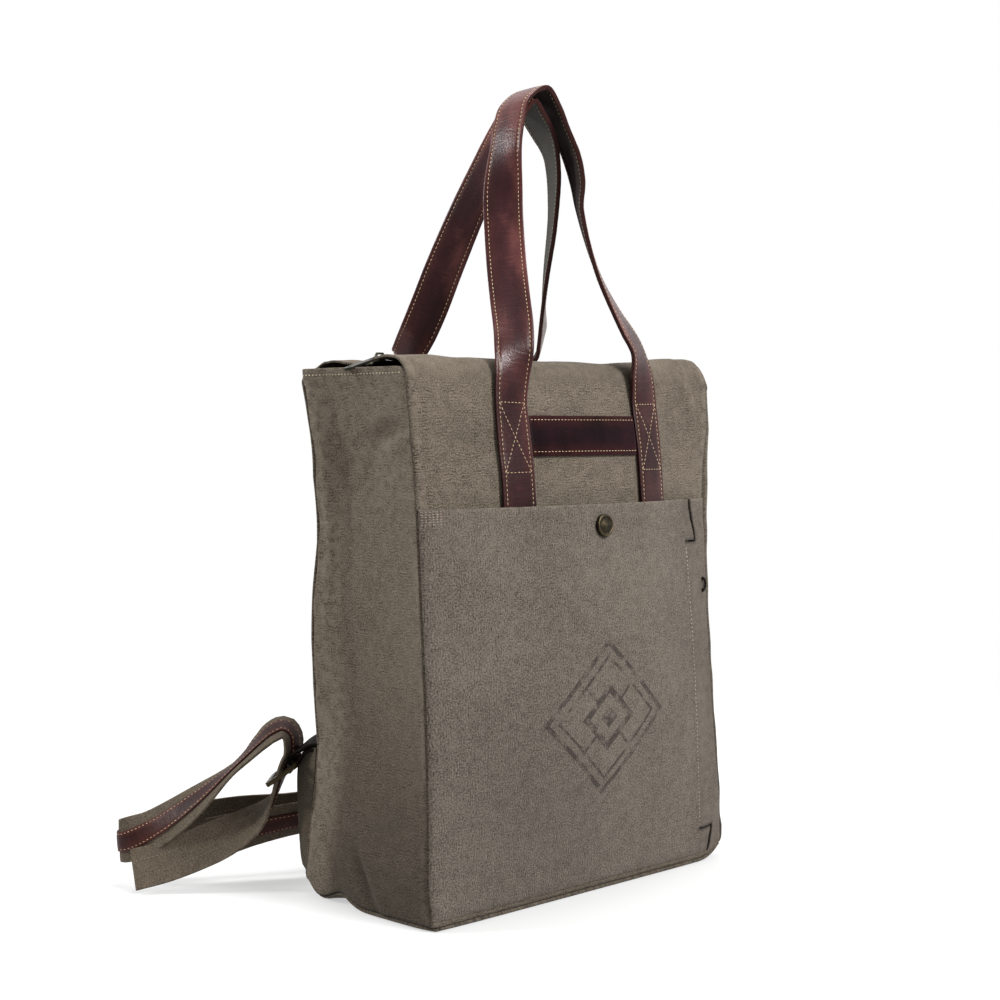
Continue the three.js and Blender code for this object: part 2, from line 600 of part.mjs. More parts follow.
// A strap slider lies in its own plane: x along the bars and y towards the bag.
const SLIDER_HEIGHT = 3 * SLIDER_BAR + STRAP_SLOT + LOOP_SLOT;
function strapSlider() {
  const low = -SLIDER_HEIGHT / 2;
  const frame = roundedRectangle(-SLIDER_LENGTH / 2, low, SLIDER_LENGTH, SLIDER_HEIGHT, SLIDER_CORNER);
  const slotWidth = SLIDER_LENGTH - 2 * SLIDER_BAR;
  const strapSlot = low + SLIDER_BAR;
  const loopSlot = strapSlot + STRAP_SLOT + SLIDER_BAR;
  frame.holes.push(roundedRectangle(-slotWidth / 2, strapSlot, slotWidth, STRAP_SLOT, SLOT_CORNER));
  frame.holes.push(roundedRectangle(-slotWidth / 2, loopSlot, slotWidth, LOOP_SLOT, SLOT_CORNER));
  return plate(frame, SLIDER_THICK);
}

function roundedRectangle(x, y, width, height, radius) {
  const shape = new THREE.Shape();
  shape.moveTo(x + radius, y);
  shape.lineTo(x + width - radius, y);
  shape.absarc(x + width - radius, y + radius, radius, -Math.PI / 2, 0);
  shape.absarc(x + width - radius, y + height - radius, radius, 0, Math.PI / 2);
  shape.absarc(x + radius, y + height - radius, radius, Math.PI / 2, Math.PI);
  shape.absarc(x + radius, y + radius, radius, Math.PI, 1.5 * Math.PI);
  return shape;
}

// A canvas tab in the back corner seam, drawn in the y and z of the bag.
function strapTab() {
  const seam = level('depth', TAB_HIGH) + TAB_CLEAR;
  const middle = (TAB_LOW + TAB_HIGH) / 2;
  const shape = new THREE.Shape();
  shape.moveTo(seam, TAB_LOW);
  shape.quadraticCurveTo(seam + TAB_REACH, TAB_LOW + TAB_ROUND, seam + TAB_REACH, middle);
  shape.quadraticCurveTo(seam + TAB_REACH, TAB_HIGH - TAB_ROUND, seam, TAB_HIGH);
  return plate(shape, TAB_THICK);
}

// The zip: two tapes under the roof edges and a row of teeth between them.
const ROOF_UNDERSIDE = ROLL_START + ROLL_RISE - ROOF_DIP - CANVAS;
const TAPE_TOP = ROOF_UNDERSIDE - SEWN_GAP;
function zipTape(side) {
  const inner = TEETH_WIDTH / 2 + GAP;
  return new THREE.BoxGeometry(2 * TAPE_HALF, TAPE_WIDTH, TAPE_THICK)
    .translate(0, side * (inner + TAPE_WIDTH / 2), TAPE_TOP - TAPE_THICK / 2);
}

function zipTeeth() {
  const shape = new THREE.Shape();
  const low = TAPE_TOP - TAPE_THICK / 2 - TEETH_THICK / 2;
  const groove = low + TEETH_THICK * TOOTH_ROOT;
  shape.moveTo(-ZIP_HALF, low);
  shape.lineTo(ZIP_HALF, low);
  for (let x = ZIP_HALF; x > -ZIP_HALF + TOOTH_PITCH / 2; x -= TOOTH_PITCH) {
    shape.lineTo(x, low + TEETH_THICK);
    shape.lineTo(x - TOOTH_PITCH * TOOTH_SHARE, low + TEETH_THICK);
    shape.lineTo(x - TOOTH_PITCH * TOOTH_SHARE, groove);
    shape.lineTo(x - TOOTH_PITCH, groove);
  }
  return plate(shape, TEETH_WIDTH).rotateX(Math.PI / 2);
}

// The zip slider: a plate that straddles the teeth, with a bridge for the puller.
const SLIDER_FOOT = TAPE_TOP - TAPE_THICK / 2 + TEETH_THICK / 2 + GAP;
const PIVOT_Z = SLIDER_FOOT + PIVOT_RISE;
const outline = (shape, rows, top) => {
  shape.setFromPoints(rows.map((row) => new THREE.Vector2(SLIDER_X + row.x, top + row.h)));
  return shape;
};

function zipSlider() {
  const [length, width, height] = [CAP.length, CAP.width, CAP.height];
  const cap = new THREE.BoxGeometry(length, width, height)
    .translate(SLIDER_X + CAP.ahead, 0, SLIDER_FOOT + height / 2);
  const arch = outline(new THREE.Shape(), BRIDGE, SLIDER_FOOT);
  arch.holes.push(outline(new THREE.Path(), BRIDGE_EYE, SLIDER_FOOT));
  const bridge = plate(arch, BRIDGE_THICK).rotateX(Math.PI / 2);
  return toGeometry(toSolid(cap).add(toSolid(bridge)));
}

// The zip puller: a leaf with a window for the bridge at one end and a round hole at the other.
// It is drawn from its pivot bar outwards along x.
function zipPuller() {
  const half = PULLER_WIDTH / 2;
  const neck = PULLER_NECK / 2;
  const leaf = new THREE.Shape();
  leaf.moveTo(-PULLER_HEAD, -neck);
  leaf.lineTo(PULLER_FLARE, -neck);
  leaf.lineTo(PULLER_LENGTH - PULLER_WIDTH, -half);
  leaf.absarc(PULLER_LENGTH - half, 0, half, -Math.PI / 2, Math.PI / 2);
  leaf.lineTo(PULLER_FLARE, neck);
  leaf.lineTo(-PULLER_HEAD, neck);
  const { x, length, width, corner } = PULLER_WINDOW;
  leaf.holes.push(roundedRectangle(x, -width / 2, length, width, corner));
  const hole = new THREE.Path();
  hole.absarc(PULLER_LENGTH - half, 0, PULLER_HOLE, 0, 2 * Math.PI);
  leaf.holes.push(hole);
  return plate(leaf, PULLER_THICK);
}

piece('front_panel', bodyPanel(-1, 16, 24), canvas);
piece('back_panel', bodyPanel(1, 12, 22), canvas);
piece('left_gusset', gusset(-1, 7, 20), canvas);
piece('right_gusset', gusset(1, 7, 20), canvas);
piece('bottom_panel', base(), canvas);

piece('front_pocket', pocket(), pocketCanvas);
piece('pocket_placket', placket(), pocketCanvas);
const snap = piece('pocket_snap', snapCap(), brass);
const snapRise = pocketY(0, SNAP_HEIGHT + SNAP_RADIUS) - pocketY(0, SNAP_HEIGHT - SNAP_RADIUS);
snap.position.set(0, pocketY(0, SNAP_HEIGHT) - 2 * SEWN_GAP, SNAP_HEIGHT);
snap.rotation.x = Math.PI - Math.atan2(snapRise, 2 * SNAP_RADIUS);

piece('front_handle', handle(-1, FRONT_FOOT, FRONT_SEWN_TOP, FRONT_ARCH, FRONT_APEX), leather);
piece('back_handle', handle(1, BACK_FOOT, BACK_SEWN_TOP, BACK_ARCH, BACK_APEX), leather);
piece('handle_band', band(), leather);

piece('front_zip_tape', zipTape(-1), tapeCloth);
piece('back_zip_tape', zipTape(1), tapeCloth);
piece('zip_teeth', zipTeeth(), brass);
piece('zip_slider', zipSlider(), brass);
const puller = piece('zip_puller', zipPuller(), brass);
puller.position.set(PIVOT_X, 0, PIVOT_Z);
puller.rotation.y = Math.PI - THREE.MathUtils.degToRad(PULLER_DROP);

const stripeOffset = STRAP_CANVAS / 2 + GAP + STRIPE_LEATHER / 2;
const sewnHeights = [STRAP_SEWN_TOP, (STRAP_SEWN_TOP + STRAP_SEWN_FOOT) / 2, STRAP_SEWN_FOOT];
const barMiddle = SLIDER_HEIGHT / 2 - SLIDER_BAR / 2;
const rightSeat = { ...SLIDER_SEAT, x: -SLIDER_SEAT.x, toBagX: -SLIDER_SEAT.toBagX };
const strapSides = [
  { name: 'left', side: -1, seat: SLIDER_SEAT, route: LEFT_ROUTE, tail: LEFT_TAIL },
  { name: 'right', side: 1, seat: rightSeat, route: RIGHT_ROUTE, tail: RIGHT_TAIL },
];
for (const { name, side, seat, route, tail } of strapSides) {
  const sewn = sewnRows(1, side * STRAP_X, sewnHeights, STRAP_CANVAS);
  const rows = [...sewn, ...route, slotRow(seat), ...tail];
  const webbing = ribbon(rows, STRAP_WIDTH, STRAP_CANVAS, { stepsPerRow: 2, middle: STRIPE_WIDTH });
  piece(`shoulder_strap_${name}`, webbing, strapCanvas);
  const stripe = ribbon(rows, STRIPE_WIDTH, STRIPE_LEATHER, { stepsPerRow: 2, offset: stripeOffset });
  piece(`strap_leather_${name}`, stripe, leather);

  const { toBag, bars, through } = sliderAxes(seat);
  const slider = piece(`strap_slider_${name}`, strapSlider(), brass);
  const seated = new THREE.Matrix4().makeBasis(bars, toBag, through).setPosition(seat.x, seat.y, seat.z);
  slider.applyMatrix4(seated);
  piece(`slider_loop_${name}`, ribbon(loopRows(seat, barMiddle), LOOP_WIDTH, LOOP_LEATHER), leather);

  const tab = piece(`strap_tab_${name}`, strapTab(), canvas);
  tab.rotation.set(Math.PI / 2, Math.PI / 2, 0);
  tab.position.x = side * (level('back', (TAB_LOW + TAB_HIGH) / 2) - TAB_THICK);
}

export default bag;
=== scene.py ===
"""A canvas tote backpack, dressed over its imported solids.

Sizes in the tables are millimetres, with the front of the bag facing -Y and the origin in the
middle of the base. Every finished mesh is in metres in that same frame.
"""

import math
from functools import lru_cache, partial

import bmesh
import bpy
from mathutils import Matrix, Vector, noise


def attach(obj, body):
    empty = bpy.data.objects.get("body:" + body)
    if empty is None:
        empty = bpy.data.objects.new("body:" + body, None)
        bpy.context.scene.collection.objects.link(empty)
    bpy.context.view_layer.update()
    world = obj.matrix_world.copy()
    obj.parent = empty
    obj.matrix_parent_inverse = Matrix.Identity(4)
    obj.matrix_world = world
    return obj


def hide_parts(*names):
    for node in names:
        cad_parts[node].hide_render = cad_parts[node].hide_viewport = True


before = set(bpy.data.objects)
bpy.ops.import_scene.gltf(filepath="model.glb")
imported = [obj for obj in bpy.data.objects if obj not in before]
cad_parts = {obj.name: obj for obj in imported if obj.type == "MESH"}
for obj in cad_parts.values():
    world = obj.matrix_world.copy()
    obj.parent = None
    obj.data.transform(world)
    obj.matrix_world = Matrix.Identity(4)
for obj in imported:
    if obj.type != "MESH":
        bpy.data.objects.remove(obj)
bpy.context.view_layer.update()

MM = 0.001
BAG = "bag"
PULLER = "puller"

# The camera: where it stands, its turn from straight ahead, its tilt and roll, and its lens.
CAMERA_SPOT = (-871.31, -902.97, 311.92)
CAMERA_YAW = 43.4836
CAMERA_PITCH = -1.5509
CAMERA_ROLL = -0.8190
CAMERA_LENS = 61.358
CAMERA_SENSOR = 36.0

# Cloth and leather thicknesses and the small gaps between sewn layers.
CANVAS = 1.6
HANDLE_LEATHER = 3.0
BAND_LEATHER = 2.0
SEWN_GAP = 0.5

# The body at each level: height, half widths at the front and back seams, half depth at the
# seams, how far front and back belly out, how far the sides cave in, how square the belly is.
LEVEL_COLUMNS = ("front", "back", "depth", "front_belly", "back_belly", "cave", "square")
BODY_LEVELS = (
    (0, 148, 145, 67.5, 2.5, 3, -2, 6),
    (30, 148, 147, 67.5, 5, 8, -2, 4),
    (90, 146, 141, 66, 11, 15, 3, 2.6),
    (150, 145, 139, 64, 15.5, 17, 6, 2.2),
    (210, 145, 140, 61.5, 17, 17, 6, 2),
    (270, 145.5, 137, 59.5, 17, 16, 6, 2),
    (310, 146.5, 139, 58.3, 15, 13, 5, 2),
    (345, 149, 146, 57, 10.5, 6, 2, 2.2),
    (380, 151.5, 153, 56, 6, 2, 0, 2.4),
)
WALL_FOOT = 2.6
HEM_HEIGHT = 371.5

# The roof roll.
ROLL_START = 362.0
ROLL_REACH = 20.0
ROLL_RISE = 15.0
ROOF_EDGE = 12.0
ROOF_DIP = 1.2
CREST_LEFT = 1.6
CREST_RIGHT = 6.0
CREST_FROM = 40.0
CREST_FULL = 125.0
WALL_SHARE = 0.76
ROLL_SHARE = 0.9
BACK_ROLL_DRAW = 0.07
FRONT_ROOF_DRAW = 0.05
FRONT_END_LIFT = 2.6
END_LIFT_RANGE = (96, 140)

# How far the front right seam puffs out, how far it is wrapped round to the front, and how far
# the back left seam spreads: height, then distance.
SEAM_PUFF = (
    (0, 1), (16, 6), (60, 7.8), (110, 6.6), (190, 5.6), (236, 6.4), (297, 9.6), (328, 10.8),
    (362, 8), (380, 4),
)
SEAM_WRAP = (
    (0, 4), (20, 6), (60, 9), (120, 11.5), (190, 12.4), (260, 11.6), (300, 9.5), (325, 6.5),
    (350, 4.5), (380, 4),
)
WRAP_REACH = 40.0
ROLL_OVER = 2.0
SEAM_SPREAD = (
    (0, 0), (70, -2), (105, -2.8), (127, 0), (150, 2.3), (182, 3.6), (220, 2.7), (251, 1),
    (266, 1.8), (297, 4.5), (328, 2.8), (365, 2), (380, 1),
)
SPREAD_REACH = 40.0

# How seams draw the cloth in: reach at upright seams, reach and depth along the foot, and depths.
SEAM_TUCK = 5.0
FOOT_TUCK = (4.0, 1.6)
SEAM_DRAW = 2.2
RIGHT_SEAM_DRAW = 0.8
GUSSET_DRAW = 2.5

# Folds: panel, place across and up, half length, half width, turn in degrees, depth.
FOLDS = (
    ("front", 116, 322, 26, 13, 40, 3),
    ("front", 122, 348, 24, 11, -48, -2.5),
    ("front", -100, 318, 40, 14, 8, 2),
    ("left", 8, 300, 45, 15, 18, 4),
    ("left", 18, 205, 40, 16, -22, -3),
    ("left", 5, 120, 44, 16, 14, 3.5),
    ("right", 0, 255, 45, 16, -12, 4),
    ("back", 60, 255, 60, 18, 12, 3),
)

# Finer creases that only the cloth has, in the same columns.
CREASES = (
    ("front", 104, 344, 16, 3.5, 52, 0.9),
    ("front", 126, 330, 15, 3.2, 64, 0.8),
    ("front", 112, 300, 18, 4, 30, 0.6),
    ("front", -112, 338, 17, 4, -34, 0.7),
    ("front", -126, 305, 14, 3, -20, 0.5),
    ("left", 29, 94, 13, 2.6, -28, 1.0),
    ("left", 34, 84, 11, 2.4, 18, -0.8),
    ("left", -4, 309, 22, 5, -40, 1.4),
    ("left", 27, 300, 70, 5, 90, 1.0),
    ("left", 23, 180, 80, 6, 86, 1.1),
    ("left", 38, 40, 24, 4, 64, 1.1),
    ("left", -30, 60, 20, 4, -30, 0.7),
    ("left", 44, 150, 20, 4, 30, -0.8),
    ("left", -27, 329, 26, 6, -14, 4.2),
    ("left", -30, 317, 26, 6, -12, -1.6),
    ("left", 46, 285, 80, 5, 90, -1.8),
    ("left", 31, 315, 44, 7, 88, 1.3),
    ("left", -2, 24, 26, 4.5, 57, 2.6),
    ("left", -12, 20, 26, 4.5, 57, -1.4),
    ("front", 127, 351, 17, 3, -69, -1.5),
    ("front", 117, 350, 18, 5, -66, 1.8),
    ("front", 138, 320, 24, 5, -80, 1.4),
    ("front", 108, 318, 22, 5, -44, 1.3),
    ("front", -108, 322, 30, 8, -16, 1.4),
    ("right", 20, 300, 40, 5, 84, 1.0),
    ("right", -24, 130, 22, 4, -34, 0.9),
    ("right", 30, 60, 24, 4, 40, 0.8),
    ("back", -80, 120, 30, 5, 24, 1.0),
    ("back", 40, 90, 34, 6, -18, 0.9),
    ("back", 100, 300, 26, 5, 48, 0.8),
    ("back", -96, 318, 24, 5, -40, 0.8),
    ("pocket", -130, 151, 12, 2.2, 4, 1.0),
    ("pocket", -120, 60, 20, 4, 36, 0.6),
    ("pocket", 60, 40, 40, 6, 8, 0.6),
    ("pocket", 96, 180, 30, 5, 82, 0.6),
    ("pocket", -60, 232, 30, 6, -14, 0.5),
)

FOLD_REACH = 9.0

# The base dish.
BASE_HALF_WIDTH = 149.0
BASE_HALF_DEPTH = 72.6
BASE_RIM = 0.88
BASE_LIFT = 0.3
BASE_THICK = 2.0
BASE_CORNER = 0.025
BASE_TAPER = 0.035
BASE_SHORT = 0.022
BASE_TURN = 2.6
BASE_TURN_RISE = 1.2
FOOT_FLARE = 4.2
FOOT_REACH = 30.0
BACK_CORNER = 10.5
FRONT_CORNER = 8.5
EDGE_BOW = 6.6

# Where the foot lifts off the floor: ranges in depth and width at the back corners, the front
# right corner and the bow of the left edge, and the height where the lift ends.
BACK_CORNER_DEEP = (52, 71)
BACK_CORNER_WIDE = (112, 149)
FRONT_CORNER_DEEP = (-30, -66)
FRONT_CORNER_FROM = 118.0
FRONT_CORNER_SPAN = 26.0
BOW_MIDDLE = 27.0
BOW_REACH = 14.0
BOW_WIDE = (126, 146)
LIFT_END = 60.0

# The front pocket with its placket and snap.
POCKET_TOP = 276.0
POCKET_FOOT = 7.0
POCKET_RIGHT = 127.0
POCKET_PUFF = 12.0
POCKET_LEFT_INSET = 0.1
POCKET_ROUND = 2.2
POCKET_FULL = 0.45
MOUTH_FROM = 0.75
MOUTH_FLAT = 0.22
PLACKET_LOW = 27.0
PLACKET_HIGH = 244.0
PLACKET_LAYER = 2.1
PLACKET_PUFF = 1.6
PLACKET_SLANT = 14.0
SNAP_HEIGHT = 261.0
SNAP_SEAT = 1.0
SNAP_PROFILE = (
    (0, 2.5), (0.9, 2.42), (1.4, 2.15), (2.9, 2.3), (3.3, 2.0), (4.8, 1.85), (5.6, 1.6),
    (6.0, 1.75), (6.4, 2.1), (6.9, 2.25), (7.4, 2.1), (7.8, 1.7), (8.0, 1.1), (8.0, -0.6),
    (7.6, -1.1),
)
SNAP_STEPS = 48

# Handles.
HANDLE_WIDTH = 28.0
HANDLE_X = 67.5
SEWN_ROWS = 6
FRONT_SEWN = (262.0, 348.0)
BACK_SEWN = (262.0, 332.0)
BAND_LOW = 310.0
BAND_HIGH = 338.0
BAND_HALF = HANDLE_X - HANDLE_WIDTH / 2 - 0.6
FRONT_ARCH = (
    (-66, -67.5, 366, -0.15, -0.98, 0.1),
    (-63, -66.5, 385, -0.5, -0.85, 0.2),
    (-58, -61, 400, -0.62, -0.75, 0.15),
    (-52, -52, 420, -0.7, -0.68, 0.1),
    (-45.5, -42, 447, -0.72, -0.66, 0.08),
    (-39, -33, 490, -0.76, -0.64, 0),
    (-37.5, -33, 510, -0.9, -0.4, 0.05),
    (-35, -32.5, 527, -0.95, -0.15, 0.15),
    (-30, -31, 545, -0.92, -0.1, 0.35),
    (-22, -29, 561, -0.7, 0, 0.7),
)
FRONT_APEX = (0, -28, 573, 0, 0, 1)
BACK_ARCH = (
    (-67.5, 65.5, 350, 0, 1, 0.05),
    (-66.5, 65, 364, -0.1, 1, 0.2),
    (-62.5, 61.5, 373, -0.6, 0.6, 0.5),
    (-58, 54, 379.5, -0.84, -0.42, 0.0),
    (-60.6, 43.5, 390.2, -0.84, -0.42, 0.0),
    (-61.3, 33, 402.3, -0.82, -0.5, -0.15),
    (-57.5, 25.5, 420, -0.79, -0.6, -0.2),
    (-51.5, 15.5, 447, -0.81, -0.57, -0.06),
    (-41.5, -2.5, 490, -0.9, -0.42, 0.09),
    (-28.5, -15, 527, -0.93, -0.35, 0.27),
    (-20.5, -18, 546, -0.8, -0.15, 0.55),
    (-12, -19.2, 559.5, -0.5, -0.1, 0.85),
)
BACK_APEX = (-4.5, -19.5, 564.5, 0, 0, 1)

# How far the right legs lean to the left: height, then distance.
FRONT_LEAN = ((490, 0), (510, 0.8), (527, 3.4), (545, 7.2), (561, 10))
BACK_LEAN = (
    (364, 0), (373, -4), (380, -8.5), (390, -8.2), (402, -2.2), (420, 0), (530, 0), (538, 1.6),
    (546, 5), (554, 8.4), (562, 10),
)

# How much further the right legs twist towards the front: height, then turn.
FRONT_TWIST = (
    (366, 0), (385, 0.25), (400, 0.55), (420, 0.42), (447, 0.2), (490, 0), (510, 0.05),
    (527, 0.22), (545, 0.28), (561, 0.12), (573, 0),
)
BACK_TWIST = (
    (364, 0), (373, 0.4), (380, 0.9), (390, 0.9), (402, 0.6), (420, 0.17), (447, 0.14),
    (490, 0.24), (527, 0.12), (546, 0),
)

# Shoulder straps and their leather stripe.
STRAP_WIDTH = 31.0
STRAP_CANVAS = 1.8
STRIPE_WIDTH = 15.0
STRIPE_LEATHER = 1.4
STRAP_X = 34.0
STRAP_SEWN = (352.0, 327.0, 302.0)
LEFT_ROUTE = (
    (-35, 92, 235, 0, 1, 0),
    (-38, 103, 150, -0.3, 1, 0),
    (-46, 115, 84, -0.6, 0.8, 0.2),
    (-66, 124, 54, -0.2, 0.8, 0.6),
    (-98, 134, 44.5, 0.25, 0.95, 0.2),
    (-145, 157, 43, 0.5, 0.85, 0),
    (-185, 181, 38, 0.5, 0.85, 0),
    (-209, 195, 33, 0.45, 0.88, 0),
    (-219, 196, 32, -0.65, 0.75, 0),
    (-220, 186, 33, -0.95, -0.3, 0),
    (-207, 167, 43, -0.56, -0.5, 0.5),
    (-186, 144, 64, -0.38, -0.32, 0.85),
    (-165, 121, 90, -0.32, 0.1, 0.95),
    (-154, 110.5, 105.5, -0.4, 0.0, 0.9),
    (-147, 104.5, 113.5, -0.35, -0.15, 0.92),
    (-140, 98.5, 116.5, -0.05, -0.4, 0.92),
    (-136, 94.2, 111, 0.4, -0.75, 0.5),
    (-136.5, 92.6, 101.5, 0.52, -0.84, 0.1),
    (-139.5, 93, 92.5, 0.58, -0.8, -0.1),
)
LEFT_TAIL = (
    (-152, 101, 63, 0.65, -0.45, -0.4),
    (-163, 110, 49, 0.62, 0.2, -0.75),
    (-185, 130, 34, 0.66, 0.62, -0.45),
    (-208, 151, 22, 0.62, 0.62, -0.5),
    (-226, 167, 16, 0.6, 0.62, -0.5),
)
RIGHT_ROUTE = (
    (35, 92, 235, 0, 1, 0),
    (38, 103, 150, 0.3, 1, 0),
    (46, 115, 84, 0.6, 0.8, 0.2),
    (66, 124, 52, 0.2, 0.8, 0.6),
    (98, 133, 46, -0.25, 0.95, 0.2),
    (135, 149, 44, -0.5, 0.85, 0),
    (160, 161, 46, -0.4, 0.9, 0.1),
    (170.5, 161, 49, 0.65, 0.75, 0),
    (171, 150, 56, 0.95, -0.3, 0.1),
    (163, 128, 84, 0.7, -0.3, 0.6),
    (150, 105, 112, 0.5, -0.1, 0.85),
    (141, 96, 119, 0.1, -0.35, 0.95),
    (140, 92.5, 110, -0.75, -0.65, 0.2),
)
RIGHT_TAIL = (
    (146, 100, 62, -0.65, -0.6, -0.1),
    (124, 99, 42, -0.35, -0.75, -0.5),
    (90, 97, 33, -0.1, -0.95, -0.25),
    (20, 95, 32, 0, -1, 0),
    (-60, 95, 41, 0, -0.9, -0.3),
    (-110, 105, 46, -0.3, -0.85, -0.55),
    (-150, 131, 39, -0.6, -0.7, -0.4),
    (-172, 149, 32, -0.6, -0.8, 0),
)

# Strap sliders, their leather loops and the corner tabs.
SLIDER_BAR = 4.0
STRAP_SLOT = 10.0
LOOP_SLOT = 5.0
SLIDER_THICK = 3.2
SLIDER_HEIGHT = 3 * SLIDER_BAR + STRAP_SLOT + LOOP_SLOT
SLIDER_SEAT = (-144, 93, 86)
SLIDER_TO_BAG = (0.69, -0.66, 0.64)
SLIDER_TILT = 16.0
SLOT_FACE = (0.62, -0.75, -0.2)
SLOT_PLACE = -2.2
LOOP_WIDTH = 22.0
LOOP_LEATHER = 2.2
LOOP_WAY = (
    ((-124.5, 69, 107), 4.0),
    ((-129.5, 76.5, 105.8), 2.6),
    ((-134, 83, 101.5), 1.5),
)
TAB_LOW = 18.0
TAB_HIGH = 104.5
TAB_REACH = 18.5
TAB_THICK = 2.4
TAB_CLEAR = 2.6
TAB_INSET = 1.2
TAB_LEVEL = 80.0
TAB_TUCK = 2.5

# The zip under the roof edges.
TAPE_TOP = 373.7
TAPE_HALF = 139.0
TAPE_INNER = 3.5
TAPE_WIDTH = 13.0
TAPE_THICK = 1.0
ZIP_HALF = 137.0
TOOTH_PITCH = 2.4
TOOTH_SIZE = (1.3, 4.0, 2.4)
TOOTH_SHIFT = 1.0

# Thread: stitch pitches, and each bead's length, width and height.
STITCH_PITCH = 3.1
HEM_PITCH = 3.3
ROOF_PITCH = 2.9
TACK_PITCH = 2.4
STITCH_BEAD = (2.2, 0.58, 0.55)
FINE_BEAD = (1.7, 0.5, 0.45)
HEM_BEAD = (2.1, 1.2, 1.0)
ROOF_BEAD = (2.1, 0.6, 0.5)
PLACKET_BEAD = (1.7, 0.75, 0.6)
TACK_BEAD = (1.9, 0.8, 0.55)

# Where threads run: in from a leather edge and a strap's end, the hem's height, the roof row's
# share of its panel, the bar tack across and up, and the boxed crosses on the handles.
EDGE_INSET = 3.0
RUN_END = 2.0
HEM_STITCH_HEIGHT = 367.2
ROOF_STITCH_SHARE = 0.965
TACK_ROWS = 6
TACK_ACROSS = (-144.8, -130.8)
TACK_UP = (265.8, 274.2)
TACK_SLOPE = 0.6
BOX_LOW = 299.0
BOX_HIGH = 347.0
BOX_CROWN = 0.33
UNDER_CLEAR = 30.0


# Small number helpers.
def blend(a, b, t):
    return a + (b - a) * t


def clamp(value, low=0.0, high=1.0):
    return min(max(value, low), high)


def ease(low, high, value):
    t = clamp((value - low) / (high - low))
    return t * t * (3 - 2 * t)


def tuck(distance, reach, depth):
    """How far an edge is drawn in by its seam, at a distance from it."""
    return depth * max(0.0, 1 - distance / reach) ** 2


@lru_cache(maxsize=None)
def reading(table, z):
    """A table's value at a height, on straight lines between its rows."""
    for (low, first), (high, last) in zip(table, table[1:]):
        if z <= high:
            return blend(first, last, clamp((z - low) / (high - low)))
    return table[-1][1]


@lru_cache(maxsize=None)
def level(column, z):
    """One column of the body table at a height, on a smooth curve through its rows."""
    at = LEVEL_COLUMNS.index(column) + 1
    last = len(BODY_LEVELS) - 2
    found = 0
    while found < last and BODY_LEVELS[found + 1][0] <= z:
        found += 1
    low = BODY_LEVELS[found]
    high = BODY_LEVELS[found + 1]
    before = BODY_LEVELS[max(found - 1, 0)]
    after = BODY_LEVELS[min(found + 2, last + 1)]
    span = high[0] - low[0]
    t = clamp((z - low[0]) / span)
    slope_low = (high[at] - before[at]) / (high[0] - before[0]) * span
    slope_high = (after[at] - low[at]) / (after[0] - low[0]) * span
    rise = 3 * t * t - 2 * t ** 3
    turn_low = t ** 3 - 2 * t * t + t
    turn_high = t ** 3 - t * t
    return blend(low[at], high[at], rise) + turn_low * slope_low + turn_high * slope_high


@lru_cache(maxsize=None)
def folds_of(table, panel):
    """The folds of one panel, with the turn of each worked out."""
    rows = []
    for name, across, up, half, wide, turn, depth in table:
        if name == panel:
            angle = math.radians(turn)
            rows.append((across, up, math.cos(angle), math.sin(angle), half, wide, depth))
    return rows


def fold_depth(table, panel, across, up):
    """How deep the folds of one panel sink at a point of it."""
    total = 0.0
    for mid_across, mid_up, cosine, sine, half, wide, depth in folds_of(table, panel):
        aside = across - mid_across
        above = up - mid_up
        along = (aside * cosine + above * sine) / half
        beside = (above * cosine - aside * sine) / wide
        fade = along * along + beside * beside
        if fade < FOLD_REACH:
            total += depth * math.exp(-fade)
    return total


RUMPLE_BROAD = (58, 52)
RUMPLE_SMALL = (21, 17)


def rumple(across, up, seed):
    """The soft unevenness of washed cloth."""
    broad = noise.noise(Vector((across / RUMPLE_BROAD[0], up / RUMPLE_BROAD[1], seed)))
    small = noise.noise(Vector((across / RUMPLE_SMALL[0], up / RUMPLE_SMALL[1], seed + 7.3)))
    return 0.9 * broad + 0.34 * small


def front_name(side):
    return "front" if side < 0 else "back"


def gusset_name(side):
    return "left" if side < 0 else "right"


@lru_cache(maxsize=None)
def seam_depth(z):
    """Half the depth at the seams: the walls spread at their foot to meet the base."""
    return level("depth", z) + FOOT_FLARE * (1 - ease(0, FOOT_REACH, z))


def panel_y(side, across, z):
    """The outer face of the front (side -1) or back (side 1) panel below the roll."""
    name = front_name(side)
    share = min(abs(across) / level(name, z), 1.2)
    belly = level(name + "_belly", z) * blend(0.25, 1, ease(0, FOOT_REACH, z))
    out = seam_depth(z) + belly * (1 - share ** level("square", z))
    return side * (out - fold_depth(FOLDS, name, across, z))


def roll_inset(z):
    rise = clamp((z - ROLL_START) / ROLL_RISE)
    return ROLL_REACH * (1 - math.sqrt(1 - rise * rise))


def right_edge(z):
    """Where the front right seam lies: the gusset is wrapped a little round to the front."""
    return level("front", z) + reading(SEAM_PUFF, z) - reading(SEAM_WRAP, z)


def corner_lift(x, y, z):
    """How far the foot of the cloth stands off the floor, mostly at its soft corners."""
    back = ease(*BACK_CORNER_DEEP, y) ** 1.4 * ease(*BACK_CORNER_WIDE, abs(x))
    front = ease(*FRONT_CORNER_DEEP, y) * clamp((x - FRONT_CORNER_FROM) / FRONT_CORNER_SPAN) ** 2.6
    edge = math.exp(-((y - BOW_MIDDLE) / BOW_REACH) ** 2) * ease(*BOW_WIDE, -x)
    lift = BACK_CORNER * back + FRONT_CORNER * front + EDGE_BOW * edge
    return lift * (1 - ease(0, LIFT_END, z))


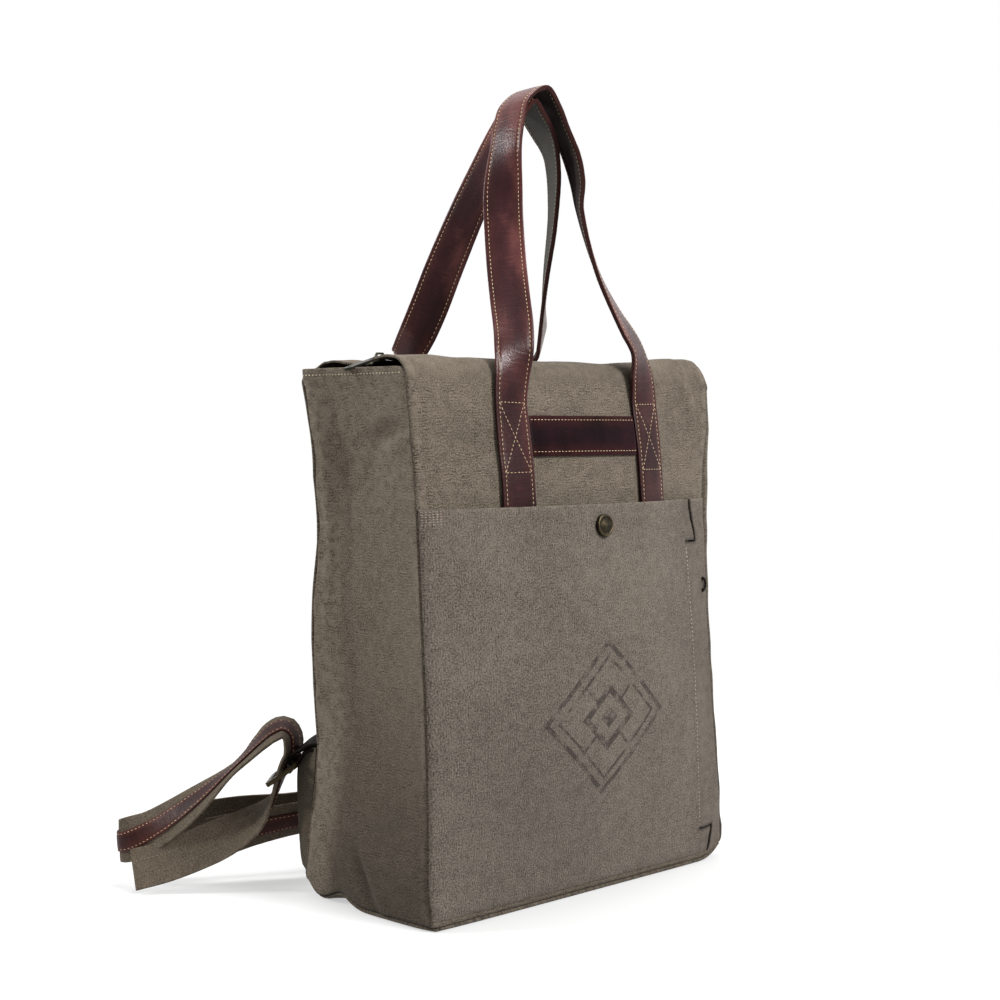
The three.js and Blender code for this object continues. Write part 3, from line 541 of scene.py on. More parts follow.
def wall_rumple(side, across, z):
    """Fine creases of a panel, kept off what is sewn flat on it."""
    name = front_name(side)
    free = ease(86, 100, abs(across))
    if side > 0:
        free = max(free, ease(52, 47, abs(across)) * ease(24, 20, abs(across)))
        free = max(free, 1 - ease(215, 250, z))
    near_seam = ease(0, 16, level(name, z) - abs(across))
    soft = rumple(across, z, 3.1 + side) * near_seam
    return free * (soft - fold_depth(CREASES, name, across, z))


def wall_height(s):
    """The height at a share of a panel's way up; past the wall it stays where the roll starts."""
    return WALL_FOOT + clamp(s / WALL_SHARE) * (ROLL_START - WALL_FOOT)


def end_lift(x):
    """How far the front roof edge and its tape are held up towards the left end of the zip."""
    return FRONT_END_LIFT * ease(*END_LIFT_RANGE, -x)


def panel_spot(side, u, v):
    """A point of the front or back panel: v runs up the wall, over the roll and to the zip."""
    s = (v + 1) / 2
    z = wall_height(s)
    half = level(front_name(side), z)
    across = -side * u * half
    foot = abs(panel_y(side, across, z)) + wall_rumple(side, across, z)
    drawn = RIGHT_SEAM_DRAW if side < 0 and u > 0 else SEAM_DRAW
    seam = tuck((1 - abs(u)) * half, SEAM_TUCK, drawn) * (1 - ease(0.72, 0.8, s))
    hem = tuck(z - WALL_FOOT, *FOOT_TUCK)
    from_edge = half - abs(across)
    if side < 0 < across:
        near = max(1 - from_edge / WRAP_REACH, 0) ** 1.5
        across += (right_edge(z) - half) * near * (1 - ease(0.74, 0.84, s))
    if side > 0 > across:
        across -= reading(SEAM_SPREAD, z) * max(1 - from_edge / SPREAD_REACH, 0)
    if s <= WALL_SHARE:
        y = side * (foot - seam - hem)
        return Vector((across, y, z + corner_lift(across, y, z)))
    if side > 0:
        across *= 1 - BACK_ROLL_DRAW * ease(0.77, 0.86, s)
    else:
        across *= 1 - FRONT_ROOF_DRAW * ease(ROLL_SHARE, 1, s)
    turn = clamp((s - WALL_SHARE) / (ROLL_SHARE - WALL_SHARE)) * math.pi / 2
    rolled = foot - seam - ROLL_REACH * (1 - math.cos(turn))
    flat = max((s - ROLL_SHARE) / (1 - ROLL_SHARE), 0)
    crest_height = CREST_LEFT if across < 0 else CREST_RIGHT
    crest = crest_height * ease(CREST_FROM, CREST_FULL, abs(across))
    ripple = 1.1 * noise.noise(Vector((across / 24, s * 30, 5.5))) * ease(0.78, 0.86, s)
    held_up = end_lift(across) if side < 0 else 0.0
    rise = (ROLL_RISE + crest) * math.sin(turn) - (ROOF_DIP + crest - held_up) * flat + ripple
    return Vector((across, side * blend(rolled, ROOF_EDGE, flat), ROLL_START + rise))


GUSSET_ROUND = 2.5
GUSSET_LIP = 0.7
SQUARE_CORNER = 0.75
HEM_TILT = 1.3
HEM_LAYER = 0.7
PUCKER_DEPTH = 0.55
PUCKER_PITCH = 6.4
PUCKER_REACH = 8.0
PUFF_REACH = 14.0


def gusset_spot(side, u, v):
    """A point of the left (side -1) or right (side 1) gusset, between the panels."""
    name = gusset_name(side)
    z = blend(WALL_FOOT, HEM_HEIGHT, (v + 1) / 2)
    square = SQUARE_CORNER * ease(0, 1, side * u)
    depth = seam_depth(z) - roll_inset(z) * (1 - square) - GUSSET_LIP
    y = side * u * depth
    half = blend(level("front", z), level("back", z), (y / depth + 1) / 2)
    if side < 0:
        half += reading(SEAM_SPREAD, z) * max(1 - (depth - y) / SPREAD_REACH, 0)
    middle = 1 - abs(u) ** GUSSET_ROUND
    from_seam = (1 - abs(u)) * depth
    beat = z / PUCKER_PITCH + 2.2 * noise.noise(Vector((z / 26, u * 3, 1.7)))
    pucker = PUCKER_DEPTH * math.exp(-from_seam / PUCKER_REACH) * math.sin(beat) * ease(0, 2.5, from_seam)
    sunk = level("cave", z) * middle + fold_depth(FOLDS, name, y, z) * (1 - u ** 4)
    fine = rumple(y, z, 11 + side) * ease(0, 14, from_seam) * (1 - ease(350, 362, z))
    fine -= fold_depth(CREASES, name, y, z) * ease(0, 6, from_seam)
    hem = HEM_LAYER * ease(359.5, 361, z)
    out = half - sunk + fine + pucker + hem
    out -= tuck(from_seam, SEAM_TUCK, GUSSET_DRAW) + tuck(z - WALL_FOOT, *FOOT_TUCK)
    if side > 0:
        from_front = depth + y
        puff = reading(SEAM_PUFF, z) * math.exp(-(max(from_front - ROLL_OVER, 0) / PUFF_REACH) ** 2)
        rise = 1 - max(1 - from_front / ROLL_OVER, 0) ** 2
        out += puff * rise - reading(SEAM_WRAP, z) * (1 - rise)
    tilt = HEM_TILT * side * u * ((v + 1) / 2) ** 6
    return Vector((side * out, y, z + tilt + corner_lift(side * half, y, z)))


def base_spot(u, v):
    """A point of the base: flat in the middle, its rim a thin lip under the walls."""
    rim = max(abs(u), abs(v))
    lift = clamp((rim - BASE_RIM) / (1 - BASE_RIM))
    corner = 1 - BASE_CORNER * min(abs(u), abs(v)) ** 6
    x = u * BASE_HALF_WIDTH * corner * (1 - BASE_TAPER * ease(0.1, -1, v))
    y = -v * BASE_HALF_DEPTH * corner * (1 - BASE_SHORT * (v < 0))
    inwards = min((1 - abs(u)) * BASE_HALF_WIDTH, (1 - abs(v)) * BASE_HALF_DEPTH)
    turned = tuck(inwards, BASE_TURN, BASE_TURN_RISE)
    return Vector((x, y, BASE_LIFT * lift ** 1.6 + turned + corner_lift(x, y, 0)))


def pocket_lift(across, z):
    """How far the pocket stands off the front panel."""
    left = -level("front", z) + POCKET_LEFT_INSET
    middle = (left + POCKET_RIGHT) / 2
    share = (across - middle) / (POCKET_RIGHT - middle)
    up = (z - POCKET_FOOT) / (POCKET_TOP - POCKET_FOOT)
    mouth = 1 - MOUTH_FLAT * ease(MOUTH_FROM, 1, up)
    rise = ease(0, POCKET_FULL, up) * mouth
    return SEWN_GAP + POCKET_PUFF * max(1 - abs(share) ** POCKET_ROUND, 0) * rise


def pocket_y(across, z):
    return panel_y(-1, across, z) - pocket_lift(across, z) - CANVAS


# The pocket cloth's columns and rows, with grid lines along the placket's slits.
POCKET_COLUMNS = (92, 4, 8, 1, 12)
POCKET_STOPS = (104.0, 108.5, 117.1, 118.7)
POCKET_EDGE = 1.2
POCKET_ROWS = (8, 1, 84, 1, 13)
SLIT_TALL = 1.2
POCKET_LEVELS = (
    POCKET_FOOT, PLACKET_LOW - SLIT_TALL, PLACKET_LOW,
    PLACKET_HIGH, PLACKET_HIGH + SLIT_TALL, POCKET_TOP,
)


def pocket_stops(z):
    """Where the pocket cloth's groups of columns meet at a height; the placket runs aslant."""
    slant = PLACKET_SLANT * clamp((PLACKET_HIGH - z) / (PLACKET_HIGH - PLACKET_LOW))
    middle = [stop + slant for stop in POCKET_STOPS]
    return (-level("front", z) + POCKET_LEFT_INSET, *middle, right_edge(z) - POCKET_EDGE)


def stepped(share, counts, stops):
    """The place along stops at a share of all the counted cells."""
    at = share * sum(counts)
    for count, low, high in zip(counts, stops, stops[1:]):
        if at <= count + 1e-6:
            return blend(low, high, at / count)
        at -= count
    return stops[-1]


def unstepped(value, counts, stops):
    """The share of all the counted cells at a place along stops."""
    done = 0
    for count, low, high in zip(counts, stops, stops[1:]):
        if value <= high:
            return (done + count * (value - low) / (high - low)) / sum(counts)
        done += count
    return 1.0


def pocket_uv(across, z):
    """The pocket cloth's u and v at a place across and up."""
    u = 2 * unstepped(across, POCKET_COLUMNS, pocket_stops(z)) - 1
    return u, 2 * unstepped(z, POCKET_ROWS, POCKET_LEVELS) - 1


def pocket_spot(u, v):
    """A point of the pocket cloth, which runs on to the right as the placket."""
    z = stepped((v + 1) / 2, POCKET_ROWS, POCKET_LEVELS)
    stops = pocket_stops(z)
    across = stepped((u + 1) / 2, POCKET_COLUMNS, stops)
    left = stops[0]
    slit = (stops[3] + stops[4]) / 2
    lift = max(pocket_lift(across, z) + CANVAS, PLACKET_LAYER)
    layer = ease(stops[1] - 6, stops[2], across) * ease(12, 30, z) * (1 - ease(PLACKET_HIGH, 270, z))
    puff = PLACKET_PUFF * math.exp(-((across - slit - 9) / 10) ** 2) * ease(7, 40, z)
    lift += PLACKET_LAYER * layer + puff
    edges = min(across - left, POCKET_TOP - z, z - POCKET_FOOT, stops[5] - across)
    soft = 0.8 * rumple(across, z, 21.7) - fold_depth(CREASES, "pocket", across, z)
    lift += soft * ease(2, 22, edges)
    drawn = tuck(across - left, SEAM_TUCK, 1.7) + tuck(z - POCKET_FOOT, 7.0, 1.6)
    lift -= drawn + tuck(stops[5] - across, SEAM_TUCK, 3.4)
    lift += 0.5 * ease(POCKET_TOP - 14, POCKET_TOP - 12.5, z) * ease(3, 8, across - left)
    beyond = max(z - PLACKET_HIGH, PLACKET_LOW - z)
    if beyond > 0:
        near = math.exp(-((across - slit) / 6) ** 2) * ease(0, 12, beyond)
        lift += (0.4 if across > slit else -0.4) * near
        sway = -4.0 if z > PLACKET_HIGH else -7.0
        across += sway * ease(4, 32, beyond) * math.exp(-((across - slit) / 11) ** 2)
    y = panel_y(-1, across, z) - lift
    return Vector((across, y, z + corner_lift(across, y, z)))


def band_spot(u, v):
    """A point of the leather band between the front handle's legs."""
    z = blend(BAND_LOW, BAND_HIGH, (v + 1) / 2)
    x = u * BAND_HALF
    crown = 0.5 * (1 - v * v)
    return Vector((x, panel_y(-1, x, z) - SEWN_GAP - BAND_LEATHER - crown, z))


def tab_spot(side, u, v):
    """A point of a corner tab: u from the seam outwards, v up; it is widest near its top."""
    seam = level("depth", TAB_LEVEL) + TAB_CLEAR - TAB_TUCK
    up = (v + 1) / 2
    widening = 0.32 + 0.68 * ease(0, 0.85, up)
    rounding = math.sqrt(max(1 - (2 * up - 1) ** 6, 0))
    reach = TAB_REACH * widening * rounding + TAB_TUCK
    bulge = 0.9 * (1 - u * u) * (1 - v * v)
    y = seam + reach * (u + 1) / 2
    z = blend(TAB_LOW, TAB_HIGH, up)
    spread = reading(SEAM_SPREAD, z) if side < 0 else 0.0
    return Vector((side * (level("back", z) + spread - TAB_INSET + bulge), y, z))


# Straps and handles: a ribbon of leather or webbing along a smooth curve.
def curve_point(points, t):
    """A point of the smooth curve through points, at a share t of its rows."""
    last = len(points) - 1
    at = clamp(t) * last
    first = min(int(at), last - 1)
    weight = at - first
    p1 = points[first]
    p2 = points[first + 1]
    p0 = points[first - 1] if first > 0 else p1 * 2 - p2
    p3 = points[first + 2] if first + 2 <= last else p2 * 2 - p1
    step0 = (p1 - p0).length ** 0.5
    step1 = (p2 - p1).length ** 0.5
    step2 = (p3 - p2).length ** 0.5
    step1 = step1 if step1 > 1e-4 else 1.0
    step0 = step0 if step0 > 1e-4 else step1
    step2 = step2 if step2 > 1e-4 else step1
    start = (p1 - p0) / step0 - (p2 - p0) / (step0 + step1) + (p2 - p1) / step1
    end = (p2 - p1) / step1 - (p3 - p1) / (step1 + step2) + (p3 - p2) / step2
    start *= step1
    end *= step1
    squared = weight * weight
    cubed = squared * weight
    return (p1 + start * weight + (p1 * -3 + p2 * 3 - start * 2 - end) * squared
            + (p1 * 2 - p2 * 2 + start + end) * cubed)


class Ribbon:
    """A strap along rows of place and facing, with its length measured along the middle."""

    SAMPLES = 900

    def __init__(self, rows):
        self.spots = [Vector(row[:3]) for row in rows]
        self.faces = [Vector(row[3:]) for row in rows]
        self.marks = [0.0]
        before = self.spots[0]
        for i in range(1, self.SAMPLES + 1):
            spot = curve_point(self.spots, i / self.SAMPLES)
            self.marks.append(self.marks[-1] + (spot - before).length)
            before = spot
        self.length = self.marks[-1]

    def share(self, distance):
        """The share of the curve's rows at a distance along it."""
        low = 0
        high = self.SAMPLES
        while high - low > 1:
            middle = (low + high) // 2
            if self.marks[middle] <= distance:
                low = middle
            else:
                high = middle
        span = self.marks[high] - self.marks[low]
        return (low + clamp((distance - self.marks[low]) / span)) / self.SAMPLES

    def axes(self, distance):
        """The middle point, and the directions along, outwards and to the side."""
        t = self.share(distance)
        ahead = curve_point(self.spots, min(t + 1e-4, 1))
        behind = curve_point(self.spots, max(t - 1e-4, 0))
        along = (ahead - behind).normalized()
        face = curve_point(self.faces, t)
        out = (face - along * face.dot(along)).normalized()
        return curve_point(self.spots, t), along, out, along.cross(out)

    def spot(self, distance, aside, lift):
        middle, _, out, side = self.axes(distance)
        return middle + side * aside + out * lift

    def run(self, aside, lift, start, end, pitch):
        """Stitch places along the strap, at a distance aside of its middle."""
        count = max(int((end - start) / pitch), 1)
        places = []
        for i in range(count):
            middle, along, out, side = self.axes(start + (i + 0.5) * (end - start) / count)
            face = out if lift > 0 else -out
            places.append((middle + side * aside + out * lift, along, face))
        return places


def sewn_row(side, across, z, thickness):
    """A strap row that lies flat on a body panel."""
    slope_x = (panel_y(side, across + 1, z) - panel_y(side, across - 1, z)) / 2
    slope_z = (panel_y(side, across, z + 1) - panel_y(side, across, z - 1)) / 2
    face = Vector((-side * slope_x, side, -side * slope_z)).normalized()
    y = panel_y(side, across, z) + side * (SEWN_GAP + thickness / 2)
    return (across, y, z, *face)


def handle_ribbon(side, sewn, arch, apex, lean, twist):
    heights = [blend(sewn[0], sewn[1], i / (SEWN_ROWS - 1)) for i in range(SEWN_ROWS)]
    rows = [sewn_row(side, -HANDLE_X, z, HANDLE_LEATHER) for z in heights]
    rows += list(arch)
    other = [sewn_row(side, HANDLE_X, z, HANDLE_LEATHER) for z in heights]
    for x, y, z, face_x, face_y, face_z in arch:
        other.append((-x - reading(lean, z), y, z, -face_x, face_y - reading(twist, z), face_z))
    return Ribbon(rows + [apex] + other[::-1])


def slider_axes(side):
    """A strap slider's seat and its directions towards the bag, along its bars and through it."""
    to_bag = Vector(SLIDER_TO_BAG)
    seat = Vector(SLIDER_SEAT)
    if side > 0:
        to_bag.x = -to_bag.x
        seat.x = -seat.x
    bars = Vector((-to_bag.y, to_bag.x, 0)).normalized()
    to_bag.normalize()
    return seat, to_bag, bars.cross(to_bag)


def strap_ribbon(side, route, tail):
    rows = [sewn_row(1, side * STRAP_X, z, STRAP_CANVAS) for z in STRAP_SEWN]
    seat, to_bag, _ = slider_axes(side)
    slot = seat + to_bag * SLOT_PLACE
    face = (-side * SLOT_FACE[0], *SLOT_FACE[1:])
    return Ribbon(rows + list(route) + [(*slot, *face)] + list(tail))


def loop_ribbon(side):
    """The leather loop round the end bar of a slider, its two ends sewn together to the bag."""
    seat, to_bag, through = slider_axes(side)
    tilt = Matrix.Rotation(math.radians(SLIDER_TILT), 3, through.cross(to_bag))
    to_bag = tilt @ to_bag
    through = tilt @ through
    bar = SLIDER_HEIGHT / 2 - SLIDER_BAR / 2
    clear = SLIDER_THICK / 2 + SEWN_GAP + LOOP_LEATHER / 2
    inner = bar - (SLIDER_BAR + LOOP_LEATHER) / 2 - 0.7
    upper = []
    lower = []
    for (x, y, z), apart in LOOP_WAY:
        spot = Vector((-side * x, y, z))
        upper.append((*(spot - through * apart), *-through))
        lower.append((*(spot + through * apart), *through))
    turns = []
    for along, aside, face_along, face_aside in (
        (bar + 2, -clear, 0, -1),
        (bar - 1.4, -clear, -0.5, -0.9),
        (inner, 0, -1, 0),
        (bar - 1.4, clear, -0.5, 0.9),
        (bar + 2, clear, 0, 1),
    ):
        spot = seat + to_bag * along + through * aside
        turns.append((*spot, *(to_bag * face_along + through * face_aside)))
    return Ribbon(upper + turns + lower[::-1])


# Finishes: shader nodes written as plain sums.
class Field:
    """A value at every point of a surface, as one socket of a shader."""

    def __init__(self, finish, socket):
        self.finish = finish
        self.socket = socket

    def maths(self, operation, first, second):
        return self.finish.node("ShaderNodeMath", {"operation": operation}, {0: first, 1: second})

    def __add__(self, other):
        return self.maths("ADD", self, other)

    def __radd__(self, other):
        return self.maths("ADD", other, self)

    def __sub__(self, other):
        return self.maths("SUBTRACT", self, other)

    def __rsub__(self, other):
        return self.maths("SUBTRACT", other, self)

    def __mul__(self, other):
        return self.maths("MULTIPLY", self, other)

    def __rmul__(self, other):
        return self.maths("MULTIPLY", other, self)

    def __truediv__(self, other):
        return self.maths("DIVIDE", self, other)

    def __rtruediv__(self, other):
        return self.maths("DIVIDE", other, self)

    def __abs__(self):
        return self.maths("ABSOLUTE", self, 0.0)


class Finish:
    """One material, or the light around the stage, under construction."""

    def __init__(self, name, owner=None):
        self.owner = owner or bpy.data.materials.new(name)
        self.owner.use_nodes = True
        self.tree = self.owner.node_tree
        self.tree.nodes.clear()

    def node(self, kind, settings=None, sockets=None, output=0):
        """Adds a node: its settings first, then the values or links of its sockets."""
        made = self.tree.nodes.new(kind)
        for name, value in (settings or {}).items():
            setattr(made, name, value)
        for key, value in (sockets or {}).items():
            if isinstance(value, Field):
                self.tree.links.new(value.socket, made.inputs[key])
            else:
                made.inputs[key].default_value = value
        return Field(self, made.outputs[output]) if made.outputs else None

    def place(self):
        return self.node("ShaderNodeTexCoord", output="Object")

    def lay(self):
        return self.node("ShaderNodeUVMap", {"uv_map": "lay"})

    def mark(self, name):
        return self.node("ShaderNodeAttribute", {"attribute_name": name}, output="Fac")

    def part(self, vector, axis):
        return self.node("ShaderNodeSeparateXYZ", sockets={0: vector}, output=axis)

    def stretch(self, vector, scale):
        return self.node("ShaderNodeMapping", sockets={"Vector": vector, "Scale": scale})

    def cloud(self, vector, scale, detail=2.0, rough=0.5, twist=0.0):
        shape = {"Detail": detail, "Roughness": rough, "Distortion": twist}
        return self.node("ShaderNodeTexNoise", sockets={"Vector": vector, "Scale": scale, **shape})

    def sine(self, field):
        return self.node("ShaderNodeMath", {"operation": "SINE"}, {0: field})

    def step(self, field, low, high):
        """Nought below low, one above high, and smooth between."""
        settings = {"interpolation_type": "SMOOTHSTEP", "clamp": True}
        sockets = {"Value": field, "From Min": low, "From Max": high}
        return self.node("ShaderNodeMapRange", settings, sockets)

    def tint(self, factor, first, second):
        settings = {"data_type": "RGBA", "clamp_factor": True}
        return self.node("ShaderNodeMix", settings, {0: factor, 6: first, 7: second}, output=2)

    def relief(self, height, distance, strength):
        sockets = {"Height": height, "Distance": distance, "Strength": strength}
        return self.node("ShaderNodeBump", sockets=sockets)

    def close(self, **sockets):
        named = {key.replace("_", " "): value for key, value in sockets.items()}
        shader = self.node("ShaderNodeBsdfPrincipled", sockets=named)
        self.node("ShaderNodeOutputMaterial", sockets={"Surface": shader})
        return self.owner


def paint(red, green, blue):
    """A colour given by its screen values, from 0 to 255."""
    def linear(value):
        share = value / 255
        return share / 12.92 if share <= 0.04045 else ((share + 0.055) / 1.055) ** 2.4
    return (linear(red), linear(green), linear(blue), 1.0)


def dimmed(colour, share):
    """A darker shade of a colour."""
    return tuple(value * share for value in colour[:3]) + (1.0,)


THREAD_WAVE = 2 * math.pi / (1.15 * MM)
RIB_WANDER = 17.0


def canvas_finish(name, dark, light, rib_axis, rib_pitch, rib_show, printed=False):
    """Washed canvas: a plain weave whose thicker threads run as wandering ribs along one way."""
    cloth = Finish(name)
    lay = cloth.lay()
    place = cloth.place()
    warp = cloth.sine(cloth.part(lay, 0) * THREAD_WAVE)
    weft = cloth.sine(cloth.part(lay, 1) * THREAD_WAVE)
    weave = warp * weft * 0.5 + 0.5
    along = (130.0, 190.0, 1.0) if rib_axis else (190.0, 130.0, 1.0)
    wander = cloth.cloud(cloth.stretch(lay, along), 1.0, 2.0)
    beat = cloth.part(lay, rib_axis) * (2 * math.pi / (rib_pitch * MM))
    rib = cloth.sine(beat + (wander - 0.5) * RIB_WANDER)
    rib = rib * cloth.step(cloth.cloud(lay, 120.0, 3.0), 0.38, 0.68)
    grit = cloth.cloud(lay, 900.0, 3.0, 0.75)
    mottle = cloth.cloud(place, 170.0, 3.0, 0.6)
    wash = cloth.cloud(place, 15.0, 4.0)
    tone = rib * rib_show + (grit - 0.5) * 2.9 + (mottle - 0.5) * 0.6 + (wash - 0.5) * 0.4
    colour = cloth.tint(tone + (weave - 0.5) * 0.2 + 0.5, dark, light)
    groove = cloth.mark("groove")
    # Rubbed cloth, and on the walls also painted highlight on ridges and painted light towards the
    # gussets' back.
    worn = cloth.mark("worn") * cloth.step(mottle, 0.35, 0.65)
    colour = cloth.tint(worn * 0.4, colour, light)
    # Soil and painted shade: evenly darker on straps, tabs and base, and painted shade low on the walls,
    # in creases and on the pocket's lower left.
    colour = cloth.tint(cloth.mark("soil_and_shade") * (wash * 0.5 + 0.25), colour, dimmed(dark, 0.45))
    if printed:
        colour = cloth.tint(lozenge_print(cloth, place), colour, paint(48, 41, 40))
    # Painted shade in the seams, round the pocket's slits and along the foot of the walls.
    colour = cloth.tint(groove, colour, dimmed(dark, 0.16))
    height = weave * 0.3 + rib * rib_show + grit * 1.1
    return cloth.close(
        Base_Color=colour,
        Roughness=0.93,
        Specular_IOR_Level=0.08,
        Sheen_Weight=0.03,
        Sheen_Roughness=0.6,
        Normal=cloth.relief(height, 0.42 * MM, 0.8),
    )


PRINT_MIDDLE = (-0.001, 0.127)
PRINT_HALF = (0.062, 0.056)
PRINT_BLUR = 0.01


def lozenge_print(cloth, place):
    """A worn print of nested lozenges joined by crossed arms, in plain geometry."""
    def between(field, low, high):
        return cloth.step(field, low, low + PRINT_BLUR) - cloth.step(field, high, high + PRINT_BLUR)

    x = (cloth.part(place, 0) - PRINT_MIDDLE[0]) / PRINT_HALF[0]
    z = (cloth.part(place, 2) - PRINT_MIDDLE[1]) / PRINT_HALF[1]
    ring = abs(x) + abs(z)
    outer = between(ring, 0.9, 0.985)
    inner = between(ring, 0.74, 0.79)
    heart = between(ring, 0.3, 0.42)
    middle = 1 - cloth.step(ring, 0.13, 0.13 + PRINT_BLUR)
    arms = between(abs(x) - abs(z) * 0.92, -0.03, 0.02) * between(ring, 0.42, 0.74)
    ink = outer + inner + heart + middle + arms
    wear = cloth.step(cloth.cloud(place, 95.0, 4.0, 0.7), 0.4, 0.56)
    return ink * (wear * 0.62 + 0.1)


def leather_finish(name, middle, edge, glow, gloss=(0.2, 0.4), shine=0.3, foot_shade=0.0):
    """Oiled leather, redder towards its edges, with grain, cross creases and pull-up patches, and painted
    shade towards a handle's foot.
    """
    hide = Finish(name)
    lay = hide.lay()
    grain = hide.node("ShaderNodeTexVoronoi", {"feature": "F1"}, {"Vector": lay, "Scale": 780.0})
    crease = hide.cloud(hide.stretch(lay, (75.0, 420.0, 1.0)), 1.0, 4.0, 0.65, 0.8)
    patch = hide.cloud(hide.stretch(lay, (34.0, 15.0, 1.0)), 1.0, 3.0)
    speck = hide.cloud(lay, 520.0, 3.0, 0.6)
    rub = hide.mark("edge")
    colour = hide.tint(hide.step(rub, 0.2, 0.95) * 0.85 + (speck - 0.5) * 0.5, middle, edge)
    pulled = hide.step(patch + (crease - 0.5) * 0.22, 0.45, 0.68)
    colour = hide.tint(pulled * 0.65, colour, glow)
    dulled = hide.step(patch, 0.52, 0.3)
    colour = hide.tint(dulled * 0.8, colour, dimmed(middle, 0.45))
    line = 1 - hide.step(abs(crease - 0.5), 0.0, 0.045)
    colour = hide.tint(line * 0.35, colour, dimmed(middle, 0.3))
    # Painted shade low on the handle legs.
    foot = 1 - hide.step(hide.part(hide.place(), 2), 0.34, 0.44)
    colour = hide.tint(foot * foot_shade, colour, dimmed(middle, 0.3))
    rough = speck * (gloss[1] - gloss[0]) + gloss[0] + line * 0.12 - pulled * 0.06
    height = grain * 0.3 + crease * 1.0 + speck * 0.15
    return hide.close(
        Base_Color=colour,
        Roughness=rough,
        Specular_IOR_Level=shine,
        Normal=hide.relief(height, 0.32 * MM, 0.6),
    )


def suede_finish(name, dark, light, foot_shade=0.0):
    """The rough flesh side or a cut edge of leather; its last argument paints shade on it towards the
    foot of a handle.
    """
    nap = Finish(name)
    place = nap.place()
    fibre = nap.cloud(nap.stretch(place, (900.0, 900.0, 500.0)), 1.0, 4.0, 0.7)
    patch = nap.cloud(place, 40.0, 2.0)
    colour = nap.tint((fibre - 0.5) * 1.1 + (patch - 0.5) * 0.6 + 0.5, dark, light)
    # Painted shade towards the foot of a handle.
    if foot_shade:
        foot = 1 - nap.step(nap.part(place, 2), 0.38, 0.47)
        colour = nap.tint(foot * foot_shade, colour, paint(40, 26, 25))
    return nap.close(
        Base_Color=colour,
        Roughness=0.78,
        Specular_IOR_Level=0.2,
        Normal=nap.relief(fibre, 0.2 * MM, 0.6),
    )


def thread_finish(name, dark, light):
    """Twisted sewing thread."""
    yarn = Finish(name)
    place = yarn.place()
    twist = yarn.cloud(place, 900.0, 2.0)
    fade = yarn.cloud(place, 60.0, 2.0)
    colour = yarn.tint((twist - 0.5) * 1.6 + (fade - 0.5) * 0.9 + 0.5, dark, light)
    return yarn.close(
        Base_Color=colour,
        Roughness=0.7,
        Specular_IOR_Level=0.25,
        Normal=yarn.relief(twist, 0.15 * MM, 0.6),
    )


def brass_finish(name, dark, bright, patina):
    """Antique brass: dark in its hollows, rubbed bright where the mark says so."""
    metal = Finish(name)
    place = metal.place()
    cloud = metal.cloud(place, 260.0, 4.0, 0.65)
    scratch = metal.cloud(metal.stretch(place, (1500.0, 300.0, 400.0)), 1.0, 3.0)
    rubbed = metal.mark("worn") * 0.6 + metal.step(scratch, 0.5, 0.75) * 0.4
    colour = metal.tint(metal.step(cloud, 0.4, 0.65) * 0.6, dark, patina)
    colour = metal.tint(rubbed, colour, bright)
    return metal.close(
        Base_Color=colour,
        Metallic=0.9,
        Roughness=0.5 - rubbed * 0.2 + (cloud - 0.5) * 0.15,
        Normal=metal.relief(cloud * 0.4 + scratch * 0.3, 0.12 * MM, 0.5),
    )


def tape_finish(name, dark, light):
    """Woven zip tape with a fine twill."""
    tape = Finish(name)
    lay = tape.lay()
    rib = tape.sine((tape.part(lay, 0) + tape.part(lay, 1)) * (2 * math.pi / (0.9 * MM)))
    fuzz = tape.cloud(tape.place(), 420.0, 3.0)
    colour = tape.tint(rib * 0.3 + (fuzz - 0.5) * 0.8 + 0.5, dark, light)
    return tape.close(
        Base_Color=colour,
        Roughness=0.9,
        Specular_IOR_Level=0.12,
        Normal=tape.relief(rib * 0.5 + fuzz, 0.2 * MM, 0.6),
    )


wall_canvas = canvas_finish("washed_canvas", paint(57, 49, 40), paint(135, 124, 110), 1, 1.95, 0.22)
pocket_canvas = canvas_finish(
    "pocket_canvas", paint(56, 50, 44), paint(132, 122, 112), 0, 1.5, 0.2, printed=True)
strap_canvas = canvas_finish("strap_canvas", paint(60, 52, 43), paint(113, 102, 88), 0, 1.6, 0.15)
# The corner tabs get a darker copy of the canvas: painted shade at the low back corners.
tab_canvas = canvas_finish("tab_canvas", paint(54, 48, 39), paint(100, 91, 78), 1, 1.6, 0.15)
handle_leather = leather_finish(
    "handle_leather", paint(65, 34, 37), paint(94, 50, 46), paint(126, 76, 72), shine=0.24, foot_shade=0.66)
band_leather = leather_finish(
    "band_leather", paint(26, 11, 16), paint(56, 25, 24), paint(42, 20, 27), (0.24, 0.42), 0.07)
stripe_leather = leather_finish(
    "stripe_leather", paint(44, 22, 20), paint(76, 38, 31), paint(70, 37, 31), (0.38, 0.56), 0.14)
loop_leather = leather_finish(
    "loop_leather", paint(15, 11, 10), paint(20, 15, 13), paint(24, 18, 16), (0.5, 0.7), 0.04)
# The back handle's flesh side, with painted shade towards its foot.
flesh_side = suede_finish("leather_flesh_side", paint(48, 46, 43), paint(80, 77, 72), 0.85)
